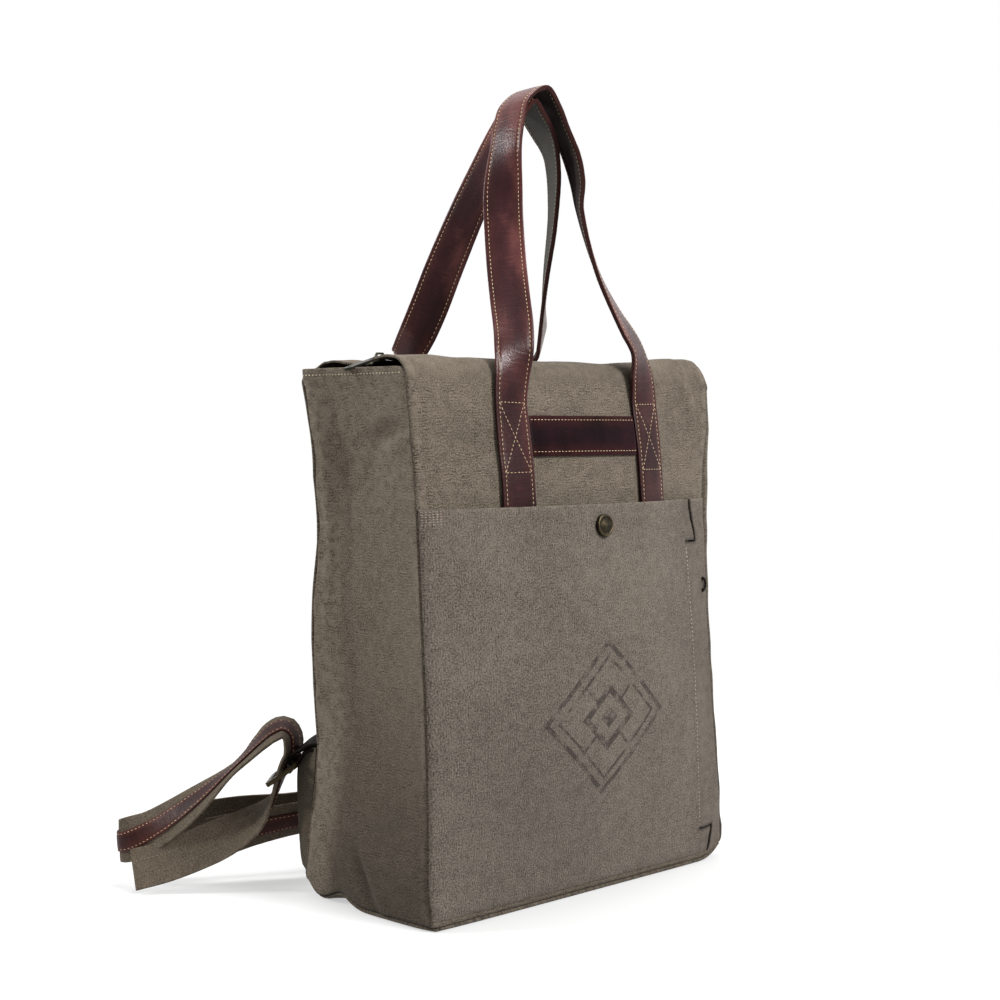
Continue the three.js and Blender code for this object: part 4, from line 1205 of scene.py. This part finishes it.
# A darker flesh side; on the front handle it is painted shade on the handle's inner face.
flesh_dark = suede_finish("dark_flesh_side", paint(24, 18, 17), paint(52, 41, 38))
cut_edge = suede_finish("leather_cut_edge", paint(36, 17, 16), paint(70, 35, 30))
tan_thread = thread_finish("tan_thread", paint(170, 139, 102), paint(230, 206, 172))
hem_thread = thread_finish("hem_thread", paint(118, 104, 86), paint(224, 208, 182))
canvas_thread = thread_finish("canvas_thread", paint(78, 69, 58), paint(150, 138, 120))
placket_thread = thread_finish("placket_thread", paint(120, 108, 96), paint(214, 202, 186))
tack_thread = thread_finish("tack_thread", paint(84, 68, 60), paint(186, 168, 154))
brass = brass_finish("antique_brass", paint(38, 34, 27), paint(120, 106, 78), paint(66, 58, 42))
slider_brass = brass_finish("slider_brass", paint(20, 18, 14), paint(70, 60, 40), paint(38, 33, 23))
zip_metal = brass_finish("zip_metal", paint(20, 19, 16), paint(70, 66, 57), paint(38, 36, 30))
dark_metal = brass_finish("dark_metal", paint(24, 22, 20), paint(76, 71, 63), paint(40, 37, 33))
tape_cloth = tape_finish("zip_tape", paint(36, 32, 27), paint(64, 58, 49))


# Meshes.
def packed(share, packing):
    """Draws grid lines closer together towards both ends."""
    return (1 + packing) * share - packing * share ** 3


def lay_grid(columns, rows, place, size, marks=None, packing=(0.25, 0.25)):
    """A grid of cloth: place(u, v) in millimetres, its flat size for the weave, and its marks."""
    bm = bmesh.new()
    bmesh.ops.create_grid(bm, x_segments=columns, y_segments=rows, size=1.0)
    lay = bm.loops.layers.uv.new("lay")
    layers = {name: bm.verts.layers.float.new(name) for name in (marks or {})}
    spots = {}
    for vert in bm.verts:
        u = packed(clamp(vert.co.x, -1, 1), packing[0])
        v = packed(clamp(vert.co.y, -1, 1), packing[1])
        spots[vert] = (u, v)
    for face in bm.faces:
        for loop in face.loops:
            u, v = spots[loop.vert]
            loop[lay].uv = (u * size[0] / 2 * MM, v * size[1] / 2 * MM)
    for vert, (u, v) in spots.items():
        for name, layer in layers.items():
            vert[layer] = marks[name](u, v)
        vert.co = place(u, v) * MM
    return bm


def make(bm, name, materials, replaced=(), body=BAG):
    """Turns a bmesh into a piece that rides on a body."""
    mesh = bpy.data.meshes.new(name)
    bm.to_mesh(mesh)
    bm.free()
    for polygon in mesh.polygons:
        polygon.use_smooth = True
    for material in materials:
        mesh.materials.append(material)
    piece = bpy.data.objects.new(name, mesh)
    bpy.context.scene.collection.objects.link(piece)
    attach(piece, body)
    if replaced:
        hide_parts(*replaced)
    return piece


def thicken(piece, thickness, rounding=0.4, inner=0, rim=0):
    """Gives cloth or leather its thickness, inwards, and rounds its cut edges."""
    wall = piece.modifiers.new("thickness", "SOLIDIFY")
    wall.thickness = thickness * MM
    wall.offset = -1.0
    wall.use_even_offset = True
    wall.material_offset = inner
    wall.material_offset_rim = rim
    edge = piece.modifiers.new("rounded_edges", "BEVEL")
    edge.width = rounding * MM
    edge.segments = 2
    edge.limit_method = "ANGLE"
    edge.angle_limit = math.radians(50)
    edge.harden_normals = False


def sew(name, runs, finish, bead=STITCH_BEAD, sunk=0.1):
    """Sews rows of stitches: each place has a spot, the way the thread runs and the way out."""
    stitch = bmesh.new()
    bmesh.ops.create_uvsphere(stitch, u_segments=6, v_segments=4, radius=0.5)
    thread = bmesh.new()
    scrap = bpy.data.meshes.new("scrap")
    for run in runs:
        for spot, along, out in run:
            ahead = along.normalized()
            side = out.cross(ahead).normalized()
            face = ahead.cross(side)
            turn = Matrix((ahead * bead[0], side * bead[1], face * bead[2])).transposed()
            place = (turn * MM).to_4x4()
            place.translation = (spot + face * (bead[2] * 0.2 - sunk)) * MM
            stitch.to_mesh(scrap)
            scrap.transform(place)
            thread.from_mesh(scrap)
    stitch.free()
    bpy.data.meshes.remove(scrap)
    make(thread, name, [finish])


def surface_run(place, path, pitch, samples=160):
    """Stitch places along a path of (u, v) on a surface, a pitch apart."""
    nudge = 1e-3
    spots = []
    for i in range(samples + 1):
        u, v = path(i / samples)
        spots.append((place(u, v), u, v))
    marks = [0.0]
    for (here, _, _), (after, _, _) in zip(spots, spots[1:]):
        marks.append(marks[-1] + (after - here).length)
    count = max(int(marks[-1] / pitch), 1)
    places = []
    at = 0
    for i in range(count):
        distance = (i + 0.5) * marks[-1] / count
        while marks[at + 1] < distance:
            at += 1
        share = (distance - marks[at]) / (marks[at + 1] - marks[at])
        u = blend(spots[at][1], spots[at + 1][1], share)
        v = blend(spots[at][2], spots[at + 1][2], share)
        along = spots[at + 1][0] - spots[at][0]
        across = place(min(u + nudge, 1), v) - place(max(u - nudge, -1), v)
        up = place(u, min(v + nudge, 1)) - place(u, max(v - nudge, -1))
        places.append((place(u, v), along, across.cross(up)))
    return places


def straight(first, last):
    return lambda share: (blend(first[0], last[0], share), blend(first[1], last[1], share))


def rounded_copy(node, name, finish, radius, body=BAG, segments=3):
    """A CAD solid's own shape with its edges rounded and rubbed."""
    bm = bmesh.new()
    bm.from_mesh(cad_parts[node].data)
    worn = bm.verts.layers.float.new("worn")
    bmesh.ops.remove_doubles(bm, verts=bm.verts, dist=0.01 * MM)
    bmesh.ops.dissolve_limit(bm, angle_limit=math.radians(2), verts=bm.verts, edges=bm.edges)
    sharp = [edge for edge in bm.edges if edge.is_manifold and edge.calc_face_angle() > math.radians(40)]
    made = bmesh.ops.bevel(
        bm, geom=sharp, offset=radius * MM, offset_type="OFFSET", affect="EDGES", segments=segments,
        profile=0.5, material=-1, clamp_overlap=True)
    for vert in made["verts"]:
        vert[worn] = 1.0
    return make(bm, name, [finish], [node], body)


# The cloth walls: flat sizes for the weave and the marks, then the painted shade along each front seam.
PANEL_HALF = 147.0
PANEL_HEIGHT = 473.0
GUSSET_HALF = 62.0
GUSSET_HEIGHT = HEM_HEIGHT - WALL_FOOT
LEFT_SEAM_SHADE = (0.45, 0.4, 1.5)
RIGHT_SEAM_SHADE = (0.6, 0.7, 2.0)
SEAM_TOP = 0.52


def wall_foot_shade(height, v):
    """Painted shade along a wall's foot."""
    return 1 - ease(0.5, 1.6, (v + 1) / 2 * height)


def panel_seam_shade(side, u, v):
    """Painted shade along a panel's foot and, below the roll, along the front panel's seams."""
    seam = 0.0
    if side < 0 and v < SEAM_TOP:
        seam = 0.5 * (1 - ease(0.4, 1.6, (1 - abs(u)) * PANEL_HALF))
    return max(seam, wall_foot_shade(PANEL_HEIGHT, v))


def gusset_seam_shade(side, u, v):
    """Painted shade along a gusset's foot and front seam; on the right it is rolled over to the front."""
    seam_shade = 0.0
    if u * side <= 0:
        depth, near, far = LEFT_SEAM_SHADE if side < 0 else RIGHT_SEAM_SHADE
        seam_shade = depth * (1 - ease(near, far, (1 - abs(u)) * GUSSET_HALF))
    return max(seam_shade, wall_foot_shade(GUSSET_HEIGHT, v))


def seam_wear(half, u):
    """Rubbed cloth a little way in from a seam."""
    from_seam = (1 - abs(u)) * half
    return ease(1.5, 3, from_seam) * (1 - ease(4, 9, from_seam))


def panel_crease(side, u, v):
    """How deep the fine creases sink at a point of a panel."""
    z = wall_height((v + 1) / 2)
    name = front_name(side)
    return fold_depth(CREASES, name, -side * u * level(name, z), z)


def panel_shade(side, u, v):
    """Painted shade low on a panel and in its creases."""
    return 0.35 * (1 - ease(-1, -0.4, v)) + 0.3 * clamp(panel_crease(side, u, v) / 2)


def panel_wear_and_highlight(side, u, v):
    """Rubbed cloth along a panel's seams, and painted highlight on its ridges."""
    return max(seam_wear(PANEL_HALF, u), clamp(-panel_crease(side, u, v)))


def gusset_shade(side, u, v):
    """Painted shade low on a gusset and in its creases; the strip by its back seam gets less of it, a
    painted light.
    """
    z = blend(WALL_FOOT, HEM_HEIGHT, (v + 1) / 2)
    crease = fold_depth(CREASES, gusset_name(side), side * u * seam_depth(z), z)
    low = 0.16 * (1 - ease(0.1, 0.7, v)) + 1.0 * (1 - ease(-1, 0.2, v))
    return low * (1 - 0.85 * ease(0.4, 0.7, side * u)) + 0.45 * clamp(crease / 3)


def gusset_wear_and_highlight(side, u, v):
    """Rubbed cloth along a gusset's seams and hem, with painted light towards its back, and lighter near
    its top.
    """
    back = ease(0.25, 0.9, side * u) * ease(-1, -0.6, v)
    top = 0.5 * ease(0.2, 0.8, v)
    return max(seam_wear(GUSSET_HALF, u), ease(0.985, 0.995, v), back, top)


def plain_marks(soil_and_shade, rubbed=None):
    """Marks of cloth without painted seam shade: evenly darkened by a share, its sides rubbed between two
    shares.
    """
    return {
        "groove": lambda u, v: 0.0,
        "soil_and_shade": lambda u, v: soil_and_shade,
        "worn": lambda u, v: ease(*rubbed, abs(u)) if rubbed else 0.0,
    }


def wall_marks(side, groove, soil_and_shade, worn):
    """The marks of a wall on one side of the bag."""
    return {"groove": partial(groove, side), "soil_and_shade": partial(soil_and_shade, side), "worn": partial(worn, side)}


for side, name, columns, rows in ((-1, "front_panel", 110, 160), (1, "back_panel", 96, 140)):
    bm = lay_grid(
        columns, rows, partial(panel_spot, side), (2 * PANEL_HALF, PANEL_HEIGHT),
        wall_marks(side, panel_seam_shade, panel_shade, panel_wear_and_highlight))
    thicken(make(bm, name + "_cloth", [wall_canvas], [name]), CANVAS)

for side, name in ((-1, "left_gusset"), (1, "right_gusset")):
    bm = lay_grid(
        64, 160, partial(gusset_spot, side), (2 * GUSSET_HALF, GUSSET_HEIGHT),
        wall_marks(side, gusset_seam_shade, gusset_shade, gusset_wear_and_highlight), (0.4, 0.25))
    thicken(make(bm, name + "_cloth", [wall_canvas], [name]), CANVAS)

bm = lay_grid(
    90, 48, base_spot, (2 * BASE_HALF_WIDTH, 2 * BASE_HALF_DEPTH), plain_marks(0.8), (0.42, 0.42))
thicken(make(bm, "bottom_cloth", [wall_canvas], ["bottom_panel"]), BASE_THICK, 0.7)


# The pocket and its placket in one cloth, slit at both ends of the placket.
POCKET_FLAT = 290.0
POCKET_HEIGHT = POCKET_TOP - POCKET_FOOT
# How dark the painted shade round the placket's slits is.
SLIT_SHADE = 0.6


def pocket_shade(u, v):
    """Painted shade along the pocket's foot and, more, on its lower left."""
    patch = math.exp(-((u + 0.62) / 0.4) ** 2 - ((v + 0.4) / 0.5) ** 2)
    return 0.1 * (1 - ease(-1, 0, v)) + 0.32 * patch


def slit_faces(bm):
    """The cells of the pocket cloth that the slits take out."""
    lay = bm.loops.layers.uv.active
    columns = [sum(POCKET_COLUMNS[:i]) for i in range(len(POCKET_COLUMNS) + 1)]
    rows = [sum(POCKET_ROWS[:i]) for i in range(len(POCKET_ROWS) + 1)]
    found = []
    for face in bm.faces:
        u = sum(loop[lay].uv.x for loop in face.loops) / 4 / (POCKET_FLAT / 2 * MM)
        v = sum(loop[lay].uv.y for loop in face.loops) / 4 / (POCKET_HEIGHT / 2 * MM)
        column = (u + 1) / 2 * columns[-1]
        row = (v + 1) / 2 * rows[-1]
        upright = columns[3] < column < columns[4]
        beyond = row < rows[2] or row > rows[3]
        tick = columns[1] < column < columns[4]
        lying = rows[1] < row < rows[2] or rows[3] < row < rows[4]
        if (upright and beyond) or (tick and lying):
            found.append(face)
    return found


# The pocket's groove mark is painted shade along its left seam.
bm = lay_grid(
    sum(POCKET_COLUMNS), sum(POCKET_ROWS), pocket_spot, (POCKET_FLAT, POCKET_HEIGHT),
    {"groove": lambda u, v: 0.2 * (u < -0.999), "soil_and_shade": pocket_shade,
     "worn": lambda u, v: ease(0.985, 0.995, v)}, packing=(0.0, 0.0))
cut = slit_faces(bm)
# Painted shade round the slits, on the corners of the cells taken out.
groove = bm.verts.layers.float["groove"]
for face in cut:
    for vert in face.verts:
        vert[groove] = SLIT_SHADE
bmesh.ops.delete(bm, geom=cut, context="FACES")
pocket = make(bm, "pocket_cloth", [pocket_canvas], ["front_pocket", "pocket_placket"])
thicken(pocket, CANVAS)


# Seam threads on the cloth.
def both_rows(place, reach, v, pitch):
    """Rows of stitches straight across both panels or both gussets."""
    path = straight((-reach, v), (reach, v))
    return [surface_run(partial(place, side), path, pitch) for side in (-1, 1)]


hem_v = 2 * (HEM_STITCH_HEIGHT - WALL_FOOT) / GUSSET_HEIGHT - 1
hem_runs = both_rows(gusset_spot, 0.95, hem_v, HEM_PITCH)
sew("hem_stitches", hem_runs, hem_thread, HEM_BEAD, 0.0)

roof_runs = both_rows(panel_spot, 0.93, 2 * ROOF_STITCH_SHARE - 1, ROOF_PITCH)
sew("roof_stitches", roof_runs, canvas_thread, ROOF_BEAD)

placket_foot = pocket_uv(POCKET_STOPS[0] + PLACKET_SLANT, PLACKET_LOW + 1)
placket_top = pocket_uv(POCKET_STOPS[0], PLACKET_HIGH - 3)
placket_run = surface_run(pocket_spot, straight(placket_foot, placket_top), STITCH_PITCH)
sew("placket_stitches", [placket_run], placket_thread, PLACKET_BEAD, 0.0)

tack_runs = []
for row in range(TACK_ROWS):
    z = blend(*TACK_UP, row / (TACK_ROWS - 1))
    path = straight(pocket_uv(TACK_ACROSS[0], z), pocket_uv(TACK_ACROSS[1], z + TACK_SLOPE))
    tack_runs.append(surface_run(pocket_spot, path, TACK_PITCH, 40))
sew("pocket_tack", tack_runs, tack_thread, TACK_BEAD, 0.12)

# The small hook of the placket's zip, at its right edge.
HOOK_RADIUS = 3.0
HOOK_WIRE = 0.9
HOOK_PLACE = (127.0, 211.0)
HOOK_OUT = 1.2
hook_spot = pocket_spot(*pocket_uv(*HOOK_PLACE)) + Vector((0, -HOOK_OUT, 0))
bm = bmesh.new()
bmesh.ops.create_circle(
    bm, cap_ends=True, segments=10, radius=HOOK_WIRE * MM,
    matrix=Matrix.Translation((HOOK_RADIUS * MM, 0, 0)) @ Matrix.Rotation(math.pi / 2, 4, "X"))
bmesh.ops.spin(
    bm, geom=bm.faces[:], cent=(0, 0, 0), axis=(0, 0, 1), angle=math.radians(200), steps=18,
    use_merge=False)
bmesh.ops.recalc_face_normals(bm, faces=bm.faces)
hook_turn = Matrix.Translation(hook_spot * MM) @ Matrix.Rotation(math.pi / 2, 4, "X")
bmesh.ops.transform(
    bm, matrix=hook_turn @ Matrix.Diagonal((1, 1.5, 1, 1)) @ Matrix.Rotation(math.radians(-100), 4, "Z"),
    verts=bm.verts)
make(bm, "placket_hook", [dark_metal])

# The snap.
seat_y = pocket_y(0, SNAP_HEIGHT) - SNAP_SEAT
lean = math.atan2(pocket_y(0, SNAP_HEIGHT + 8) - pocket_y(0, SNAP_HEIGHT - 8), 16)
bm = bmesh.new()
worn = bm.verts.layers.float.new("worn")
rim = [bm.verts.new((radius * MM, 0, height * MM)) for radius, height in SNAP_PROFILE]
for first, last in zip(rim, rim[1:]):
    bm.edges.new((first, last))
bmesh.ops.spin(
    bm, geom=bm.verts[:] + bm.edges[:], cent=(0, 0, 0), axis=(0, 0, 1), angle=2 * math.pi,
    steps=SNAP_STEPS, use_merge=True)
bmesh.ops.remove_doubles(bm, verts=bm.verts, dist=0.002 * MM)
bmesh.ops.recalc_face_normals(bm, faces=bm.faces)
for vert in bm.verts:
    radius = vert.co.xy.length / MM
    rim_wear = 0.6 * ease(6.0, 6.8, radius) * (1 - ease(7.4, 7.8, radius))
    vert[worn] = rim_wear + 0.4 * (1 - ease(0.8, 1.6, radius))
turn = Matrix.Rotation(math.pi / 2 - lean, 4, "X")
seat = Matrix.Translation(Vector((0, seat_y, SNAP_HEIGHT)) * MM)
bmesh.ops.transform(bm, matrix=seat @ turn, verts=bm.verts)
make(bm, "snap_cap", [brass], ["pocket_snap"])


# Leather straps.
GROOVE_WIDTH = 0.9
EDGE_DROP = 0.35
WRINKLE = 0.12


def leather_strap(name, ribbon, width, thickness, materials, replaced, columns, cell=3.2,
                  offset=0.0, crown=0.35, groove=0.3, inset=EDGE_INSET, rounding=0.5):
    """A stitched leather strap: crowned, with a shallow groove where each thread runs."""
    half = width / 2

    def spot(u, v):
        aside = u * half
        near = (half - abs(aside) - inset) / GROOVE_WIDTH
        lift = offset + thickness / 2 + crown * (1 - u * u) - groove * math.exp(-near * near)
        lift -= EDGE_DROP * ease(0.93, 1.0, abs(u))
        distance = (v + 1) / 2 * ribbon.length
        wrinkle = WRINKLE * noise.noise(Vector((aside / 9, distance / 4, width)))
        return ribbon.spot(distance, aside, lift + wrinkle)

    rows = int(ribbon.length / cell)
    bm = lay_grid(
        columns, rows, spot, (width, ribbon.length), {"edge": lambda u, v: abs(u)}, packing=(0.15, 0.0))
    piece = make(bm, name, materials, replaced)
    thicken(piece, thickness, rounding, inner=1, rim=2)


HANDLE_LANE = HANDLE_WIDTH / 2 - EDGE_INSET
HANDLE_FACE = HANDLE_LEATHER / 2


def cross_run(ribbon, start, from_side, end, to_side):
    """Stitch places straight from one spot of a handle's crowned face to another."""
    length = math.hypot(end - start, to_side - from_side)
    count = max(int(length / STITCH_PITCH), 1)
    places = []
    for i in range(count):
        distance = blend(start, end, (i + 0.5) / count)
        aside = blend(from_side, to_side, (i + 0.5) / count)
        share = aside / HANDLE_LANE
        spot = ribbon.spot(distance, aside, HANDLE_FACE + BOX_CROWN * (1 - share * share * 0.62))
        _, along, out, across = ribbon.axes(distance)
        way = along * ((end - start) / length) + across * ((to_side - from_side) / length)
        places.append((spot, way, out))
    return places


def boxed_crosses(ribbon, foot):
    """The boxed cross of stitches on each leg of a handle."""
    low = BOX_LOW - foot
    high = BOX_HIGH - foot
    lane = HANDLE_LANE
    runs = []
    for start, end in ((low, high), (ribbon.length - low, ribbon.length - high)):
        runs.append(cross_run(ribbon, start, -lane, start, lane))
        runs.append(cross_run(ribbon, end, -lane, end, lane))
        runs.append(cross_run(ribbon, start, -lane, end, lane))
        runs.append(cross_run(ribbon, start, lane, end, -lane))
    return runs


front_ribbon = handle_ribbon(-1, FRONT_SEWN, FRONT_ARCH, FRONT_APEX, FRONT_LEAN, FRONT_TWIST)
back_ribbon = handle_ribbon(1, BACK_SEWN, BACK_ARCH, BACK_APEX, BACK_LEAN, BACK_TWIST)
handles = (
    # The front handle takes the darker flesh side: painted shade on its inner face.
    ("front_handle", flesh_dark, front_ribbon, FRONT_SEWN),
    ("back_handle", flesh_side, back_ribbon, BACK_SEWN),
)
for name, flesh, ribbon, sewn in handles:
    leather_strap(
        name + "_leather", ribbon, HANDLE_WIDTH, HANDLE_LEATHER, [handle_leather, flesh, cut_edge],
        [name], 28)
    free = sewn[1] - sewn[0] + UNDER_CLEAR
    runs = []
    for aside in (-HANDLE_LANE, HANDLE_LANE):
        runs.append(ribbon.run(aside, HANDLE_FACE, RUN_END, ribbon.length - RUN_END, STITCH_PITCH))
        runs.append(ribbon.run(aside, -HANDLE_FACE, free, ribbon.length - free, STITCH_PITCH))
    runs += boxed_crosses(ribbon, sewn[0])
    sew(name + "_stitches", runs, tan_thread)

bm = lay_grid(
    50, 14, band_spot, (2 * BAND_HALF, BAND_HIGH - BAND_LOW), {"edge": lambda u, v: abs(v)},
    packing=(0.0, 0.0))
thicken(make(bm, "handle_band_leather", [band_leather, flesh_side, cut_edge], ["handle_band"]),
        BAND_LEATHER + 0.4, 0.4, inner=1, rim=2)
lane_v = 1 - 2 * EDGE_INSET / (BAND_HIGH - BAND_LOW)
band_runs = []
for v in (-lane_v, lane_v):
    band_runs.append(surface_run(band_spot, straight((-0.99, v), (0.99, v)), STITCH_PITCH))
sew("handle_band_stitches", band_runs, tan_thread)

# Shoulder straps: webbing, its leather stripe, the slider, its loop and the corner tab.
strap_sides = (
    ("left", -1, strap_ribbon(-1, LEFT_ROUTE, LEFT_TAIL)),
    ("right", 1, strap_ribbon(1, RIGHT_ROUTE, RIGHT_TAIL)),
)
STRIPE_SET = [stripe_leather, flesh_dark, cut_edge]
LOOP_SET = [loop_leather, flesh_dark, loop_leather]
STRIPE_INSET = 1.8
UNDER_START = 60.0
for name, side, ribbon in strap_sides:
    half = STRAP_WIDTH / 2

    def webbing_spot(u, v, ribbon=ribbon):
        distance = (v + 1) / 2 * ribbon.length
        curl = 0.25 * noise.noise(Vector((u * 2, distance / 20, 31)))
        return ribbon.spot(distance, u * half, STRAP_CANVAS / 2 + curl * abs(u) - 0.3 * abs(u) ** 6)

    bm = lay_grid(
        18, int(ribbon.length / 3.4), webbing_spot, (STRAP_WIDTH, ribbon.length),
        plain_marks(0.1, (0.86, 0.97)), packing=(0.15, 0.0))
    webbing = make(bm, f"strap_{name}_webbing", [strap_canvas], [f"shoulder_strap_{name}"])
    thicken(webbing, STRAP_CANVAS, 0.5)

    stripe_offset = STRAP_CANVAS / 2 + 0.1 + STRIPE_LEATHER / 2
    leather_strap(
        f"strap_{name}_stripe", ribbon, STRIPE_WIDTH, STRIPE_LEATHER, STRIPE_SET,
        [f"strap_leather_{name}"], 16, cell=3.4, offset=stripe_offset, crown=0.2, groove=0.2,
        inset=STRIPE_INSET, rounding=0.3)

    lane = STRIPE_WIDTH / 2 - STRIPE_INSET
    face = stripe_offset + STRIPE_LEATHER / 2
    stripe_runs = []
    webbing_runs = []
    for aside in (-lane, lane):
        end = ribbon.length - RUN_END
        stripe_runs.append(ribbon.run(aside, face, RUN_END, end, STITCH_PITCH))
        webbing_runs.append(ribbon.run(aside, -STRAP_CANVAS / 2, UNDER_START, end, STITCH_PITCH))
    sew(f"strap_{name}_stitches", stripe_runs, tan_thread, FINE_BEAD)
    sew(f"strap_{name}_under_stitches", webbing_runs, canvas_thread, FINE_BEAD)

    buckle = rounded_copy(f"strap_slider_{name}", f"strap_{name}_slider", slider_brass, 0.8)
    seat, to_bag, through = slider_axes(side)
    pivot = Matrix.Translation(seat * MM)
    buckle.data.transform(
        pivot @ Matrix.Rotation(math.radians(SLIDER_TILT), 4, through.cross(to_bag)) @ pivot.inverted())
    leather_strap(
        f"strap_{name}_loop", loop_ribbon(side), LOOP_WIDTH, LOOP_LEATHER, LOOP_SET,
        [f"slider_loop_{name}"], 14, cell=1.6, crown=0.1, groove=0.0, rounding=0.3)

    bm = lay_grid(
        14, 24, lambda u, v, side=side: tab_spot(side, side * u, v), (TAB_REACH, TAB_HIGH - TAB_LOW),
        plain_marks(0.2, (0.8, 0.95)), packing=(0.0, 0.0))
    thicken(make(bm, f"strap_{name}_tab", [tab_canvas], [f"strap_tab_{name}"]), TAB_THICK, 0.6)

# The zip: woven tapes, a row of small teeth, the slider and its puller.
for side, name in ((-1, "front_zip_tape"), (1, "back_zip_tape")):
    def tape_spot(u, v, side=side):
        sag = 0.15 * noise.noise(Vector((u * 9, v, 2.0)))
        y = side * (TAPE_INNER + TAPE_WIDTH * (side * v + 1) / 2)
        x = u * TAPE_HALF
        held_up = end_lift(x) * ease(-5, -11, y)
        return Vector((x, y, TAPE_TOP + sag + held_up))

    bm = lay_grid(80, 8, tape_spot, (2 * TAPE_HALF, TAPE_WIDTH), packing=(0.0, 0.0))
    thicken(make(bm, name + "_cloth", [tape_cloth], [name]), TAPE_THICK, 0.3)

bm = bmesh.new()
tooth_count = int(2 * ZIP_HALF / TOOTH_PITCH)
for i in range(tooth_count):
    x = -ZIP_HALF + (i + 0.5) * 2 * ZIP_HALF / tooth_count
    y = TOOTH_SHIFT if i % 2 else -TOOTH_SHIFT
    spot = Vector((x, y, TAPE_TOP - TAPE_THICK / 2)) * MM
    size = Matrix.Diagonal((*(value * MM for value in TOOTH_SIZE), 1.0))
    bmesh.ops.create_cube(bm, size=1.0, matrix=Matrix.Translation(spot) @ size)
teeth = make(bm, "zip_teeth_metal", [zip_metal], ["zip_teeth"])
edge = teeth.modifiers.new("rounded_edges", "BEVEL")
edge.width = 0.3 * MM
edge.segments = 1

rounded_copy("zip_slider", "zip_slider_metal", zip_metal, 0.35, segments=2)
rounded_copy("zip_puller", "zip_puller_metal", zip_metal, 0.45, PULLER)

# The stage: a pale floor, soft light and the camera.
bm = bmesh.new()
bmesh.ops.create_circle(bm, cap_ends=True, segments=64, radius=1.2)
floor_mesh = bpy.data.meshes.new("floor")
bm.to_mesh(floor_mesh)
bm.free()
ground = Finish("pale_floor")
place = ground.place()
grain = ground.cloud(place, 3.0, 3.0)
tone = ground.tint(grain, (0.86, 0.86, 0.86, 1.0), (0.9, 0.9, 0.9, 1.0))
board = ground.node("ShaderNodeBsdfPrincipled", sockets={"Base Color": tone, "Roughness": 0.9})
clear = ground.node("ShaderNodeBsdfTransparent")
reach = ground.node("ShaderNodeVectorMath", {"operation": "LENGTH"}, {0: place}, output="Value")
fade = ground.step(reach, 0.45, 1.1) * 0.5 + 0.5
faded = ground.node("ShaderNodeMixShader", sockets={0: fade, 1: board, 2: clear})
ground.node("ShaderNodeOutputMaterial", sockets={"Surface": faded})
floor_mesh.materials.append(ground.owner)
floor = bpy.data.objects.new("floor", floor_mesh)
bpy.context.scene.collection.objects.link(floor)

# The light around: brighter behind the bag, along the way from the camera, and overhead.
BRIGHT_WAY = (0.687, 0.725)
sky = Finish("studio", bpy.data.worlds.new("studio"))
away = sky.node("ShaderNodeTexCoord", output="Generated")
ahead = sky.part(away, 0) * BRIGHT_WAY[0] + sky.part(away, 1) * BRIGHT_WAY[1]
bright = sky.step(ahead, -0.35, 0.7) + sky.step(sky.part(away, 2), 0.2, 1.0) * 0.35
wall_light = sky.tint(bright, (0.3, 0.3, 0.3, 1.0), (1.0, 1.0, 1.0, 1.0))
shine = sky.node("ShaderNodeBackground", sockets={"Color": wall_light, "Strength": 1.0})
sky.node("ShaderNodeOutputWorld", sockets={"Surface": shine})
bpy.context.scene.world = sky.owner
bpy.context.scene.view_settings.view_transform = "Standard"

# Lamps: name, place, aim, size and power.
LIGHTS = (
    ("key_light", (0.3, -2.3, 1.7), (0.0, 0.0, 0.28), 0.8, 71.0),
    ("side_light", (-1.8, 1.5, 1.5), (0.0, 0.0, 0.25), 0.5, 40.0),
    ("top_light", (0.2, 0.2, 2.4), (0.0, 0.0, 0.3), 1.0, 22.0),
)
for name, spot, aim, size, power in LIGHTS:
    lamp = bpy.data.lights.new(name, "AREA")
    lamp.shape = "DISK"
    lamp.size = size
    lamp.energy = power
    light = bpy.data.objects.new(name, lamp)
    light.location = spot
    light.rotation_euler = (Vector(aim) - Vector(spot)).to_track_quat("-Z", "Y").to_euler()
    bpy.context.scene.collection.objects.link(light)

yaw = math.radians(CAMERA_YAW)
pitch = math.radians(CAMERA_PITCH)
forward = Vector((math.sin(yaw) * math.cos(pitch), math.cos(yaw) * math.cos(pitch), math.sin(pitch)))
right = Vector((math.cos(yaw), -math.sin(yaw), 0.0))
upright = right.cross(forward)
look = Matrix((right, upright, -forward)).transposed()
roll = Matrix.Rotation(math.radians(CAMERA_ROLL), 3, "Z")
lens = bpy.data.cameras.new("camera")
lens.lens = CAMERA_LENS
lens.sensor_width = CAMERA_SENSOR
camera = bpy.data.objects.new("camera", lens)
camera.matrix_world = Matrix.Translation(Vector(CAMERA_SPOT) * MM) @ (look @ roll).to_4x4()
bpy.context.scene.collection.objects.link(camera)
bpy.context.scene.camera = camera
